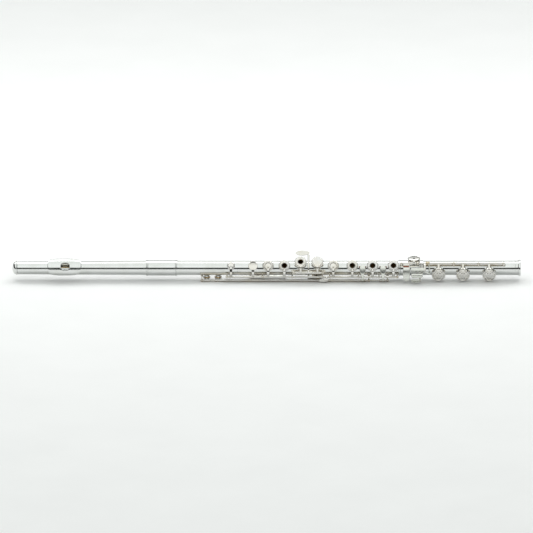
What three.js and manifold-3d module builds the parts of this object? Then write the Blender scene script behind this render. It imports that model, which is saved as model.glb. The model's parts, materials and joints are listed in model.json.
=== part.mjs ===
// A concert flute: silver, open-hole keys, offset G, B foot. Sizes are in millimetres.
//
// It is built with its main keys facing up (+Z), the crown towards -X and the player on the -Y side, and then rolled
// into the pose in which it lies steadily on a table, on the posts of its trill rod and of its thumb rod.
//
// A place along the tube is its distance from the crown's end. A place around the tube is an angle in degrees from
// the main key cups towards the player, and a distance from the tube's axis; place() turns those two into
// [across, up], where across is towards the player and up is along the cups' normal.

import * as THREE from "three";
import { mergeVertices } from "three/addons/utils/BufferGeometryUtils.js";
import Module from "manifold-3d";

// ---- driving dimensions ----

const LENGTH = 708;
const GAP = 0.3; // between pieces that touch on the real flute

// tube
const TUBE = { outer: 9.9, wall: 0.4, socket: 10.6, ring: 11.15 };
const HEAD = { start: 7, end: 216, crownOuter: 8.9, taperEnd: 181 };
const EMBOUCHURE = { x: 73.5, angle: 5, halfLength: 6.25, halfWidth: 5.5 };
const LIP_PLATE = { start: 49, end: 96, outer: 13.9, thickness: 0.9, near: 66, far: -58, corner: 9 };
const STOPPER = { face: 56.3, disc: 1, corkStart: 34, rod: 1.6, rodStart: 3.6, screwHole: 2.4 };
const BARREL = { start: 186, end: 230, rings: [187.9, 228], ringTop: 0.8, ringFoot: 1.2 };
const BODY = { start: 216.4, split: 390, end: 550 };
const FOOT = { start: 537.7, socketEnd: 572, tenonEnd: 550.3, ring: [703.3, 706.5] };

// mechanism
const ROD = { steel: 0.9, bore: 1.2, tube: 1.6 };
const FOOT_NEST = { steel: 0.7, sleeveBore: 0.95, sleeve: 1.35, tubeBore: 1.6, tube: 2 };
const POST = { head: 2, length: 3, shaft: 2.4 };
const CUP = { rim: 12, skirt: 13, shoulder: 14.4, top: 15.2, dome: 15.5, ceiling: 14.3, wall: 0.5 };
const PAD = { bottom: 12.3, top: 14, inset: 0.8 };
const CHIMNEY = { inset: 1.5, wall: 0.5 };
const HOLE = 3.7; // radius of the finger hole in an open key
const ARM = { thickness: 1.3, width: 3 };

// how far the keys stand open at rest, in degrees
const OPEN = { main: 8.5, thumb: 13 };

// the way down when the flute lies on a table, and the rods
const DOWN = 125;
const MAIN_ROD = { angle: 67, radius: 16 };
const G_ROD = { angle: 41, radius: 16 };
const TRILL_ROD = { angle: 94, radius: 17.6 };
const FOOT_ROD = { angle: -7, radius: 16 };
const THUMB_ROD = {
  angle: 150,
  radius: (TRILL_ROD.radius * cosine(DOWN - TRILL_ROD.angle)) / cosine(150 - DOWN),
};

// tone holes, named after their key: place along and around the tube, and the radius of the cup
const HOLES = {
  d_sharp_trill: { x: 270.7, angle: 128, cup: 5.2 },
  d_trill: { x: 286.7, angle: 128, cup: 5.2 },
  c_sharp: { x: 304.5, angle: 0, cup: 5.5 },
  b_thumb: { x: 342, angle: 185, cup: 7.6 },
  b_flat: { x: 356.2, angle: 0, cup: 7.8 },
  a: { x: 378.9, angle: 0, cup: 8 },
  g: { x: 401.5, angle: -18.5, cup: 8.5 },
  lower_g: { x: 424.9, angle: -18.5, cup: 8.5 },
  g_sharp: { x: 424.9, angle: 140, cup: 8 },
  f_sharp: { x: 447, angle: 0, cup: 7.8 },
  f: { x: 473.6, angle: 0, cup: 8 },
  e: { x: 501.8, angle: 0, cup: 8 },
  d: { x: 530.9, angle: 0, cup: 8 },
  e_flat: { x: 559.4, angle: -52, cup: 8.6 },
  low_c_sharp: { x: 593.7, angle: 60, cup: 9.4 },
  low_c: { x: 627.7, angle: 60, cup: 9.4 },
  low_b: { x: 664, angle: 60, cup: 9.4 },
};

const TUBE_SIDES = 24;
const CUP_SIDES = 14;
const PAD_SIDES = 12;
const ROD_SIDES = 8;
const HEAD_SIDES = 8;

// ---- materials ----

const metal = (color, roughness) => new THREE.MeshStandardMaterial({ color, roughness, metalness: 1 });
const soft = (color) => new THREE.MeshStandardMaterial({ color, roughness: 0.8, metalness: 0 });
const SILVER = metal(0xd9d9d6, 0.16);
const WARM_SILVER = metal(0xd6d3c8, 0.2);
const STEEL = metal(0xb9b7b0, 0.28);
const PAD_SKIN = soft(0xc8a668);
const CORK = soft(0xa9764b);

// ---- solids ----

const wasm = await Module();
wasm.setup();

const radians = THREE.MathUtils.degToRad;

function cosine(degrees) {
  return Math.cos((degrees * Math.PI) / 180);
}

function place(angle, radius) {
  return [radius * Math.sin(radians(angle)), radius * Math.cos(radians(angle))];
}

const path = (...places) => places.map(([angle, radius]) => place(angle, radius));

// The closed solid of a geometry, without the faces that shrink to a line where a profile meets its axis.
function solid(geometry) {
  const bare = new THREE.BufferGeometry();
  bare.setAttribute("position", geometry.getAttribute("position"));
  bare.setIndex(geometry.index);
  const merged = mergeVertices(bare, 1e-4);
  const corners = merged.index.array;
  const kept = [];
  for (let i = 0; i < corners.length; i += 3) {
    const [a, b, c] = corners.slice(i, i + 3);
    if (a !== b && b !== c && c !== a) kept.push(a, b, c);
  }
  const vertProperties = merged.attributes.position.array;
  return new wasm.Manifold(new wasm.Mesh({ numProp: 3, vertProperties, triVerts: new Uint32Array(kept) }));
}

function join(...solids) {
  return solids.reduce((sum, next) => sum.add(next));
}

function cut(body, ...tools) {
  return tools.reduce((rest, tool) => rest.subtract(tool), body);
}

function geometryOf(body) {
  const mesh = body.getMesh();
  const geometry = new THREE.BufferGeometry();
  geometry.setAttribute("position", new THREE.BufferAttribute(mesh.vertProperties, 3));
  geometry.setIndex(new THREE.BufferAttribute(mesh.triVerts, 1));
  geometry.computeVertexNormals();
  return geometry;
}

// Turns a profile of [along, radius] about the X axis. A profile goes round its section anticlockwise as seen with
// the radius to the right and X up, so up its outside first.
function turnedX(profile, sides = TUBE_SIDES) {
  const points = profile.map(([along, radius]) => new THREE.Vector2(radius, along));
  return new THREE.LatheGeometry(points, sides).rotateZ(-Math.PI / 2);
}

// The same about the Z axis through a place along the tube, for cups, pads and holes; points are [radius, height].
function turnedZ(profile, x, angle, sides = CUP_SIDES) {
  const points = profile.map(([radius, height]) => new THREE.Vector2(radius, height));
  const geometry = new THREE.LatheGeometry(points, sides).rotateX(Math.PI / 2);
  return geometry.translate(x, 0, 0).rotateX(radians(angle));
}

function ring(x0, x1, inner, outer, sides = TUBE_SIDES) {
  return turnedX([[x0, inner], [x0, outer], [x1, outer], [x1, inner], [x0, inner]], sides);
}

function rodAt([across, up], x0, x1, radius, sides = ROD_SIDES) {
  const geometry = turnedX([[x0, 0], [x0, radius], [x1, radius], [x1, 0]], sides);
  return solid(geometry.translate(0, -across, up));
}

function tubeAt([across, up], x0, x1, inner, outer, sides = ROD_SIDES) {
  return solid(ring(x0, x1, inner, outer, sides).translate(0, -across, up));
}

function pillar(x, angle, radius, bottom, top, sides = PAD_SIDES) {
  return solid(turnedZ([[0, bottom], [radius, bottom], [radius, top], [0, top]], x, angle, sides));
}

// Extrudes an outline of [across, up] from x0 to x1.
const SECTION_AXES = new THREE.Matrix4().makeBasis(
  new THREE.Vector3(0, 1, 0),
  new THREE.Vector3(0, 0, 1),
  new THREE.Vector3(1, 0, 0),
);

function section(outline, x0, x1) {
  const shape = new THREE.Shape(outline.map(([across, up]) => new THREE.Vector2(-across, up)));
  const geometry = new THREE.ExtrudeGeometry(shape, { depth: x1 - x0, bevelEnabled: false });
  return solid(geometry.applyMatrix4(SECTION_AXES).translate(x0, 0, 0));
}

// The outline of a bar of even thickness along a line of [across, up] points.
function bar(line, thickness = ARM.thickness) {
  const points = line.map(([across, up]) => new THREE.Vector2(across, up));
  const side = (from, to) => {
    const along = to.clone().sub(from).normalize();
    return new THREE.Vector2(-along.y, along.x);
  };
  const offsets = points.map((point, i) => {
    const before = side(points[Math.max(i - 1, 0)], points[Math.max(i, 1)]);
    const last = points.length - 1;
    const after = side(points[Math.min(i, last - 1)], points[Math.min(i + 1, last)]);
    const middle = before.clone().add(after).normalize();
    return middle.multiplyScalar(thickness / 2 / middle.dot(after));
  });
  const left = points.map((p, i) => [p.x + offsets[i].x, p.y + offsets[i].y]);
  const right = points.map((p, i) => [p.x - offsets[i].x, p.y - offsets[i].y]);
  return [...left, ...right.reverse()];
}

function arc(radius, from, to, steps) {
  return Array.from({ length: steps + 1 }, (_, i) => place(from + ((to - from) * i) / steps, radius));
}

// A strap that follows the tube from one angle to another.
function strap(x0, x1, inner, outer, from, to, steps = 3) {
  return section([...arc(outer, from, to, steps), ...arc(inner, to, from, steps)], x0, x1);
}

// Turns a point of the frame of a cup at an angle into the flute's own [across, up].
function fromCup([across, up], angle) {
  const [a, b] = [Math.sin(radians(angle)), Math.cos(radians(angle))];
  return [across * b + up * a, -across * a + up * b];
}

// ---- the scene ----

const flute = new THREE.Group();

function put(name, body, material, parent = flute) {
  const mesh = new THREE.Mesh(geometryOf(body), material);
  mesh.name = name;
  parent.add(mesh);
  return mesh;
}

// A group whose contents are given at the closed position and stand open by some degrees about a rod.
function hinged(rod, open = 0) {
  const [across, up] = place(rod.angle, rod.radius);
  const hinge = new THREE.Group();
  hinge.position.set(0, -across, up);
  hinge.rotation.x = radians(open);
  const key = new THREE.Group();
  key.position.set(0, across, -up);
  hinge.add(key);
  flute.add(hinge);
  return key;
}

// ---- head joint ----

function headRadius(x) {
  const share = Math.min((x - HEAD.start) / (HEAD.taperEnd - HEAD.start), 1);
  return HEAD.crownOuter + (TUBE.outer - HEAD.crownOuter) * share;
}

const embouchureRadius = headRadius(EMBOUCHURE.x);

// An upright cylinder with an oval base over the embouchure hole; grow widens it all round.
function embouchurePlug(grow, bottom, top) {
  const steps = 24;
  const oval = Array.from({ length: steps }, (_, i) => {
    const turn = (2 * Math.PI * i) / steps;
    const along = (EMBOUCHURE.halfLength + grow) * Math.cos(turn);
    return new THREE.Vector2(along, (EMBOUCHURE.halfWidth + grow) * Math.sin(turn));
  });
  const geometry = new THREE.ExtrudeGeometry(new THREE.Shape(oval), { depth: top - bottom, bevelEnabled: false });
  geometry.translate(EMBOUCHURE.x, 0, bottom).rotateX(radians(EMBOUCHURE.angle));
  return solid(geometry);
}

function headJoint() {
  const { start, end, crownOuter, taperEnd } = HEAD;
  const profile = [
    [start, crownOuter - TUBE.wall],
    [start, crownOuter],
    [taperEnd, TUBE.outer],
    [end, TUBE.outer],
    [end, TUBE.outer - TUBE.wall],
    [taperEnd, TUBE.outer - TUBE.wall],
    [start, crownOuter - TUBE.wall],
  ];
  put("head_tube", cut(solid(turnedX(profile)), embouchurePlug(0, 5, 12)), SILVER);

  const wall = cut(embouchurePlug(0.9, 5, 14), embouchurePlug(0, 4, 15));
  const innerLip = LIP_PLATE.outer - LIP_PLATE.thickness;
  const outside = rodAt([0, 0], 60, 90, innerLip - GAP, TUBE_SIDES);
  const inside = rodAt([0, 0], 60, 90, embouchureRadius + GAP, TUBE_SIDES);
  put("embouchure_riser", cut(wall.intersect(outside), inside), SILVER);

  const plate = strap(LIP_PLATE.start, LIP_PLATE.end, innerLip, LIP_PLATE.outer, LIP_PLATE.far, LIP_PLATE.near, 12);
  put("lip_plate", cut(plate.intersect(lipOutline()), embouchurePlug(0, 5, 16)), SILVER);
}

// The lip plate's outline as seen from above the embouchure hole, with round corners.
function lipOutline() {
  const { start, end, corner } = LIP_PLATE;
  const half = LIP_PLATE.outer + 1;
  const reach = Math.sin(radians((LIP_PLATE.near - LIP_PLATE.far) / 2)) * LIP_PLATE.outer;
  const shape = new THREE.Shape();
  shape.moveTo(start, -reach + corner);
  shape.quadraticCurveTo(start, -reach, start + corner, -reach);
  shape.lineTo(end - corner, -reach);
  shape.quadraticCurveTo(end, -reach, end, -reach + corner);
  shape.lineTo(end, reach - corner);
  shape.quadraticCurveTo(end, reach, end - corner, reach);
  shape.lineTo(start + corner, reach);
  shape.quadraticCurveTo(start, reach, start, reach - corner);
  const geometry = new THREE.ExtrudeGeometry(shape, { depth: half, bevelEnabled: false, curveSegments: 4 });
  return solid(geometry.rotateX(radians((LIP_PLATE.near + LIP_PLATE.far) / 2)));
}

function stopper() {
  const bore = TUBE.wall + GAP;
  const { face, disc, corkStart, rod, rodStart, screwHole } = STOPPER;
  const discStart = face - disc;
  const crown = [
    [0, 0],
    [0.5, 3.4],
    [2.1, 6.8],
    [4.6, 8.8],
    [5.2, 9.5],
    [6.7, 9.5],
    [6.7, 7.9],
    [11.5, 7.9],
    [11.5, rod + GAP],
    [screwHole, rod + GAP],
    [screwHole, 0],
  ];
  put("crown", solid(turnedX(crown)), SILVER);
  const screw = [
    [rodStart, 0],
    [rodStart, rod],
    [discStart, rod],
    [discStart, headRadius(discStart) - bore],
    [face, headRadius(face) - bore],
    [face, 0],
  ];
  put("stopper_screw", solid(turnedX(screw, 20)), SILVER);
  const corkEnd = discStart - GAP;
  const cork = [
    [corkStart, rod + GAP],
    [corkStart, headRadius(corkStart) - bore],
    [corkEnd, headRadius(corkEnd) - bore],
    [corkEnd, rod + GAP],
    [corkStart, rod + GAP],
  ];
  put("head_cork", solid(turnedX(cork, 24)), CORK);
}

// ---- tubes ----

// The wall round a tone hole, and the plug that opens it.
const chimneyWall = ({ x, angle, cup }) => pillar(x, angle, cup - CHIMNEY.inset, 4, CUP.rim);
const chimneyHole = ({ x, angle, cup }) => pillar(x, angle, cup - CHIMNEY.inset - CHIMNEY.wall, 3, CUP.rim + 1);

function drilled(tube, holes, bore) {
  return cut(join(tube, ...holes.map(chimneyWall)), bore, ...holes.map(chimneyHole));
}

const onFoot = (name) => name.startsWith("low_") || name === "e_flat";
const holesOf = (test) => Object.entries(HOLES).filter(([name]) => test(name)).map(([, hole]) => hole);

function barrelAndBody() {
  const inner = TUBE.outer + GAP;
  const outer = TUBE.socket;
  const { ringTop, ringFoot } = BARREL;
  const profile = [[BARREL.start, inner], [BARREL.start, outer]];
  for (const x of BARREL.rings)
    profile.push([x - ringFoot, outer], [x - ringTop, TUBE.ring], [x + ringTop, TUBE.ring], [x + ringFoot, outer]);
  profile.push([BARREL.end, outer], [BARREL.end, inner], [BARREL.start, inner]);
  put("barrel", solid(turnedX(profile)), SILVER);

  // The body tube is two solids end to end, so that the collision pieces follow its bore.
  const bore = TUBE.outer - TUBE.wall;
  const { start, split, end } = BODY;
  const lengths = { upper_body_tube: [start, split], lower_body_tube: [split, end] };
  for (const [node, [from, to]] of Object.entries(lengths)) {
    const drill = rodAt([0, 0], from - 1, to + 1, bore, TUBE_SIDES);
    const holes = holesOf((name) => !onFoot(name) && HOLES[name].x > from && HOLES[name].x < to);
    put(node, drilled(solid(ring(from, to, bore, TUBE.outer)), holes, drill), SILVER);
  }
}

function footTube() {
  const bore = TUBE.outer - TUBE.wall;
  const { start, socketEnd, tenonEnd, ring: endRing } = FOOT;
  const socket = TUBE.outer + GAP;
  const profile = [
    [start, socket],
    [start, TUBE.ring],
    [start + 2, TUBE.ring],
    [start + 2.6, TUBE.socket],
    [socketEnd, TUBE.socket],
    [socketEnd, TUBE.outer],
    [endRing[0], TUBE.outer],
    [endRing[0] + 0.5, TUBE.ring],
    [endRing[1], TUBE.ring],
    [endRing[1] + 0.3, TUBE.outer + 0.4],
    [LENGTH, TUBE.outer + 0.4],
    [LENGTH, bore],
    [tenonEnd, bore],
    [tenonEnd, socket],
    [start, socket],
  ];
  const drill = rodAt([0, 0], tenonEnd, LENGTH + 1, bore, TUBE_SIDES);
  put("foot_tube", drilled(solid(turnedX(profile)), holesOf(onFoot), drill), SILVER);
}

// ---- ribs and posts ----

// A post that stands on a strap and carries a rod. One flat of its head faces the table.
function post(x, rod, { bore = ROD.bore, head = POST.head, base = 10.5 } = {}) {
  const centre = place(rod.angle, rod.radius);
  const around = (radius, sides) =>
    Array.from({ length: sides }, (_, i) => {
      const [across, up] = place(DOWN + ((i + 0.5) * 360) / sides, radius);
      return [centre[0] + across, centre[1] + up];
    });
  const flat = head / cosine(180 / HEAD_SIDES);
  const shaft = bar([place(rod.angle, base), centre], POST.shaft);
  const [x0, x1] = [x - POST.length / 2, x + POST.length / 2];
  const body = join(section(around(flat, HEAD_SIDES), x0, x1), section(shaft, x0 + 0.4, x1 - 0.4));
  return cut(body, section(around(bore, HEAD_SIDES), x0 - 1, x1 + 1));
}

const RIB = { inner: TUBE.outer + GAP, outer: TUBE.outer + GAP + 0.8 };

function ribs() {
  const onMain = [299, 348.4, 389.8, 442, 482, 510.6, 536].map((x) => post(x, MAIN_ROD));
  const trillPlaces = [264, 496.5, 522.5];
  const onTrill = trillPlaces.map((x) => post(x, TRILL_ROD));
  const feet = trillPlaces.map((x) => strap(x - 2, x + 2, RIB.inner, RIB.outer, 70, 101, 4));
  const mainStrap = strap(261.5, 537.6, RIB.inner, RIB.outer, 59, 75);
  put("main_rib", join(mainStrap, ...feet, ...onMain, ...onTrill), SILVER);

  const gPosts = [392.4, 432.4].map((x) => post(x, G_ROD));
  put("offset_g_rib", join(strap(388.4, 436, RIB.inner, RIB.outer, 32, 50), ...gPosts), SILVER);

  const thumbStrap = strap(328.5, 382, RIB.inner, RIB.outer, 130, 158, 4);
  const { x, angle, cup } = HOLES.b_thumb;
  const room = pillar(x, angle, cup - CHIMNEY.inset + GAP, 5, 14);
  const thumbPosts = [331.6, 379].map((at) => post(at, THUMB_ROD));
  put("thumb_rib", join(cut(thumbStrap, room), ...thumbPosts), SILVER);

  const onSocket = strap(540.7, 573.4, TUBE.socket + GAP, TUBE.socket + 1, -6, 10);
  const onTube = strap(FOOT.socketEnd + GAP, 687, RIB.inner, TUBE.socket + 0.7, -17, 2.5);
  const footPosts = [542.3, 564.6, 649.5, 684.5].map((at) =>
    post(at, FOOT_ROD, { base: 11.2, bore: ROD.bore, head: 2.4 }),
  );
  const wide = post(615, FOOT_ROD, { base: 11.2, bore: FOOT_NEST.tubeBore + 0.1, head: 2.6 });
  put("foot_rib", join(onSocket, onTube, ...footPosts, wide), SILVER);
}

function steels() {
  const steel = (name, rod, x0, x1) => put(name, rodAt(place(rod.angle, rod.radius), x0, x1, ROD.steel), STEEL);
  steel("left_main_steel", MAIN_ROD, 297, 391.4);
  steel("right_main_steel", MAIN_ROD, 392, 537.8);
  steel("e_flat_steel", FOOT_ROD, 540.4, 562.6);
}

// ---- keys ----

// A cup without a finger hole, as a profile of [radius, height].
function closedCup(radius) {
  return [
    [0, CUP.ceiling],
    [radius - CUP.wall, CUP.ceiling],
    [radius - CUP.wall, CUP.skirt],
    [radius, CUP.skirt],
    [radius, CUP.shoulder],
    [radius - 1.2, CUP.top],
    [0, CUP.dome],
  ];
}

function openCup(radius) {
  return [
    [HOLE, CUP.ceiling],
    [radius - CUP.wall, CUP.ceiling],
    [radius - CUP.wall, CUP.skirt],
    [radius, CUP.skirt],
    [radius, CUP.shoulder],
    [radius - 0.9, CUP.top],
    [HOLE, CUP.dome],
    [HOLE, CUP.ceiling],
  ];
}

function cupSolid({ x, angle, cup }, isOpen = false) {
  return solid(turnedZ(isOpen ? openCup(cup) : closedCup(cup), x, angle));
}

function pad(name, { x, angle, cup }, parent, isOpen = false) {
  const inner = isOpen ? HOLE + GAP : 0;
  const outer = cup - PAD.inset;
  const profile = [[inner, PAD.bottom], [outer, PAD.bottom], [outer, PAD.top], [inner, PAD.top]];
  if (isOpen) profile.push([inner, PAD.bottom]);
  put(name, solid(turnedZ(profile, x, angle, PAD_SIDES)), PAD_SKIN, parent);
}

// The arm from a hinge tube over a cup's rim to its top, ending at a distance from the cup's centre.
function cupArm({ x, angle, cup }, rod, end, width = ARM.width) {
  const [across, up] = place(rod.angle - angle, rod.radius);
  const side = Math.sign(across);
  const line = [
    [across, up],
    [side * Math.max(cup + 2.6, Math.abs(across) - 3.4), Math.max(up, 13.4)],
    [side * (cup + 0.2), CUP.top + 0.1],
    [side * end, CUP.dome + 0.1],
  ];
  return section(bar(line.map((point) => fromCup(point, angle))), x - width / 2, x + width / 2);
}

// A touch: a bar's last stretch, widened along the flute.
const touch = (line, x0, x1, thickness = ARM.thickness) => section(bar(line, thickness), x0, x1);

function hingeTube(rod, x0, x1, { bore = ROD.bore, outer = ROD.tube } = {}) {
  return tubeAt(place(rod.angle, rod.radius), x0, x1, bore, outer);
}

const hingeBore = (rod, x0, x1, bore = ROD.bore) => rodAt(place(rod.angle, rod.radius), x0 - 1, x1 + 1, bore);

// One cup on one hinge tube: most of the keys.
function cupKey(name, hole, rod, [x0, x1], { open = 0, isOpen = false, padName }) {
  const group = hinged(rod, open);
  const arm = cupArm(hole, rod, isOpen ? HOLE + 0.9 : 0);
  const body = join(hingeTube(rod, x0, x1), arm, cupSolid(hole, isOpen));
  put(name, cut(body, hingeBore(rod, x0, x1)), WARM_SILVER, group);
  pad(padName, hole, group, isOpen);
  return group;
}

function leftHandKeys() {
  const { c_sharp: cSharp, b_flat: bFlat, a, g, lower_g: lowerG } = HOLES;
  const cGroup = hinged(MAIN_ROD, OPEN.main);
  const fingerTouch = { x: 335.2, angle: 0, cup: 6.7 };
  const cKey = join(
    hingeTube(MAIN_ROD, 301, 346.4),
    cupArm(cSharp, MAIN_ROD, 0),
    cupSolid(cSharp),
    cupArm(fingerTouch, MAIN_ROD, 0),
    cupSolid(fingerTouch),
  );
  put("c_key", cut(cKey, hingeBore(MAIN_ROD, 301, 346.4)), WARM_SILVER, cGroup);
  pad("c_sharp_pad", cSharp, cGroup);

  const open = OPEN.main;
  cupKey("b_flat_key", bFlat, MAIN_ROD, [350.4, 366], { open, padName: "b_flat_pad" });
  cupKey("a_key", a, MAIN_ROD, [366.5, 387.8], { open, isOpen: true, padName: "a_pad" });

  const gGroup = cupKey("g_key", g, G_ROD, [394.4, 408.8], { open, isOpen: true, padName: "g_pad" });
  const lower = join(hingeTube(G_ROD, 416.8, 430.4), cupArm(lowerG, G_ROD, 0), cupSolid(lowerG));
  put("lower_g_key", cut(lower, hingeBore(G_ROD, 416.8, 430.4)), WARM_SILVER, gGroup);
  pad("lower_g_pad", lowerG, gGroup);
  put("g_steel", rodAt(place(G_ROD.angle, G_ROD.radius), 390.4, 434.2, ROD.steel), STEEL, gGroup);
}

// The G sharp key is a see-saw: its leaf is on the far side, and its cup is behind the tube.
function gSharpKey() {
  const hole = HOLES.g_sharp;
  const group = hinged(G_ROD);
  const [x0, x1] = [409.3, 416.3];
  const over = path([41, 16], [24, 16.7], [0, 16.5], [-20, 16.9], [-38, 18.6], [-46, 20.4]);
  const leafLine = path([-44, 19.6], [-60, 25.4]);
  const under = path([41, 16], [54, 13.4], [67, 12.25], [82, 12.4], [94, 12.9], [103, 14], [110, 15.6]);
  const last = path([98, 13.4], [104, 14.2], [110.5, 15.6]);
  const body = join(
    hingeTube(G_ROD, x0, x1),
    section(bar(over), 411.2, 413.8),
    touch(leafLine, 394.8, 413.8),
    section(bar(under, 1.1), 411.2, 413.8),
    section(bar(last, 1.1), 411.2, 424),
    cupSolid(hole),
  );
  put("g_sharp_key", cut(body, hingeBore(G_ROD, x0, x1)), WARM_SILVER, group);
  pad("g_sharp_pad", hole, group);
}

function thumbKeys() {
  const hole = HOLES.b_thumb;
  const group = hinged(THUMB_ROD, -OPEN.thumb);
  const [across, up] = place(THUMB_ROD.angle - hole.angle, THUMB_ROD.radius);
  const line = [[across, up], [across + 1.2, CUP.top], [0, CUP.dome]];
  const arm = section(bar(line.map((point) => fromCup(point, hole.angle))), 340, 344);
  const cupKeyBody = join(hingeTube(THUMB_ROD, 333.6, 350.6), arm, cupSolid(hole));
  put("b_thumb_key", cut(cupKeyBody, hingeBore(THUMB_ROD, 333.6, 350.6)), WARM_SILVER, group);
  pad("b_thumb_pad", hole, group);
  put("thumb_steel", rodAt(place(THUMB_ROD.angle, THUMB_ROD.radius), 329.8, 380.8, ROD.steel), STEEL, group);

  const plate = path([150, THUMB_ROD.radius], [158, 17.9], [172, 18.2], [196, 18]);
  const touchBody = join(hingeTube(THUMB_ROD, 366, 377.2), touch(plate, 366, 376.4));
  put("b_thumb_touch", cut(touchBody, hingeBore(THUMB_ROD, 366, 377.2)), WARM_SILVER, group);

  const leverGroup = hinged(THUMB_ROD, -OPEN.thumb);
  const lever = join(hingeTube(THUMB_ROD, 351, 365.6), touch(plate, 353.6, 365));
  put("b_flat_thumb_lever", cut(lever, hingeBore(THUMB_ROD, 351, 365.6)), WARM_SILVER, leverGroup);
}

function rightHandKeys() {
  const { f_sharp: fSharp, f, e, d } = HOLES;
  const open = OPEN.main;
  const group = hinged(MAIN_ROD);
  const [x0, x1] = [393.4, 439.8];
  const neck = [place(MAIN_ROD.angle, MAIN_ROD.radius), [17.2, 7.9], [19.2, 6.4]];
  const lever = join(
    hingeTube(MAIN_ROD, x0, x1),
    section(bar(neck), 436.6, 439.6),
    touch([[18, 7.4], [21.4, 4]], 427, 439.6),
  );
  put("b_flat_side_lever", cut(lever, hingeBore(MAIN_ROD, x0, x1)), WARM_SILVER, group);

  cupKey("f_sharp_key", fSharp, MAIN_ROD, [444.2, 457], { open, padName: "f_sharp_pad" });
  cupKey("f_key", f, MAIN_ROD, [457.5, 479.8], { open, isOpen: true, padName: "f_pad" });
  cupKey("e_key", e, MAIN_ROD, [484.2, 508.4], { open, isOpen: true, padName: "e_pad" });
  cupKey("d_key", d, MAIN_ROD, [512.8, 533.8], { open, isOpen: true, padName: "d_pad" });
}

function trillKeys() {
  const rod = TRILL_ROD;
  const centre = place(rod.angle, rod.radius);
  const over = [centre, [19.9, 4.5], [18.7, 10.5], [12.4, 14.7], [8, 15.9]];
  const plate = [[11.8, 14.9], [2, 17.5]];
  const touchAt = (x) => join(section(bar(over), x - 1.5, x + 1.5), touch(plate, x - 4.2, x + 4.2, 1.5));
  const pinned = (x) => rodAt(centre, x - 4, x + 4, ROD.tube);

  const { d_sharp_trill: dSharp, d_trill: dTrill } = HOLES;
  const lowGroup = hinged(rod);
  const steel = rodAt(centre, 261.8, 524.6, ROD.steel);
  const [dSharpX, touchX] = [dSharp.x, 516.3];
  const key = join(steel, pinned(dSharpX), pinned(touchX - 1), touchAt(touchX), cupArm(dSharp, rod, 0));
  put("d_sharp_trill_key", join(key, cupSolid(dSharp)), WARM_SILVER, lowGroup);
  pad("d_sharp_trill_pad", dSharp, lowGroup);

  const group = hinged(rod);
  const [x0, x1] = [282, 492.6];
  const body = join(hingeTube(rod, x0, x1), touchAt(487.9), cupArm(dTrill, rod, 0), cupSolid(dTrill));
  put("d_trill_key", cut(body, hingeBore(rod, x0, x1)), WARM_SILVER, group);
  pad("d_trill_pad", dTrill, group);
}

// ---- foot keys ----

const footCentre = place(FOOT_ROD.angle, FOOT_ROD.radius);

function eFlatKey() {
  const hole = HOLES.e_flat;
  const group = hinged(FOOT_ROD);
  const [x0, x1] = [544.1, 562.8];
  const leaf = [footCentre, [1.2, 17.1], [8.8, 16.3], [16.1, 12.7], [21.5, 8.1]];
  const body = join(
    hingeTube(FOOT_ROD, x0, x1),
    touch(leaf, 544.1, 553.9),
    cupArm(hole, FOOT_ROD, 0),
    cupSolid(hole),
  );
  put("e_flat_key", cut(body, hingeBore(FOOT_ROD, x0, x1)), WARM_SILVER, group);
  pad("e_flat_pad", hole, group);
}

// A lever's two ears and the pin between them, on which a roller turns.
function rollerCarrier(plateEdge, centre, x0, x1) {
  const ears = [x0, x1 - 1.2].map((x) => section(bar([plateEdge, centre], 1.4), x, x + 1.2));
  return join(...ears, rodAt(centre, x0 + 0.4, x1 - 0.4, 0.4, HEAD_SIDES));
}

const roller = (centre, x0, x1) => tubeAt(centre, x0 + 1.5, x1 - 1.5, 0.7, 1.3);

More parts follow.
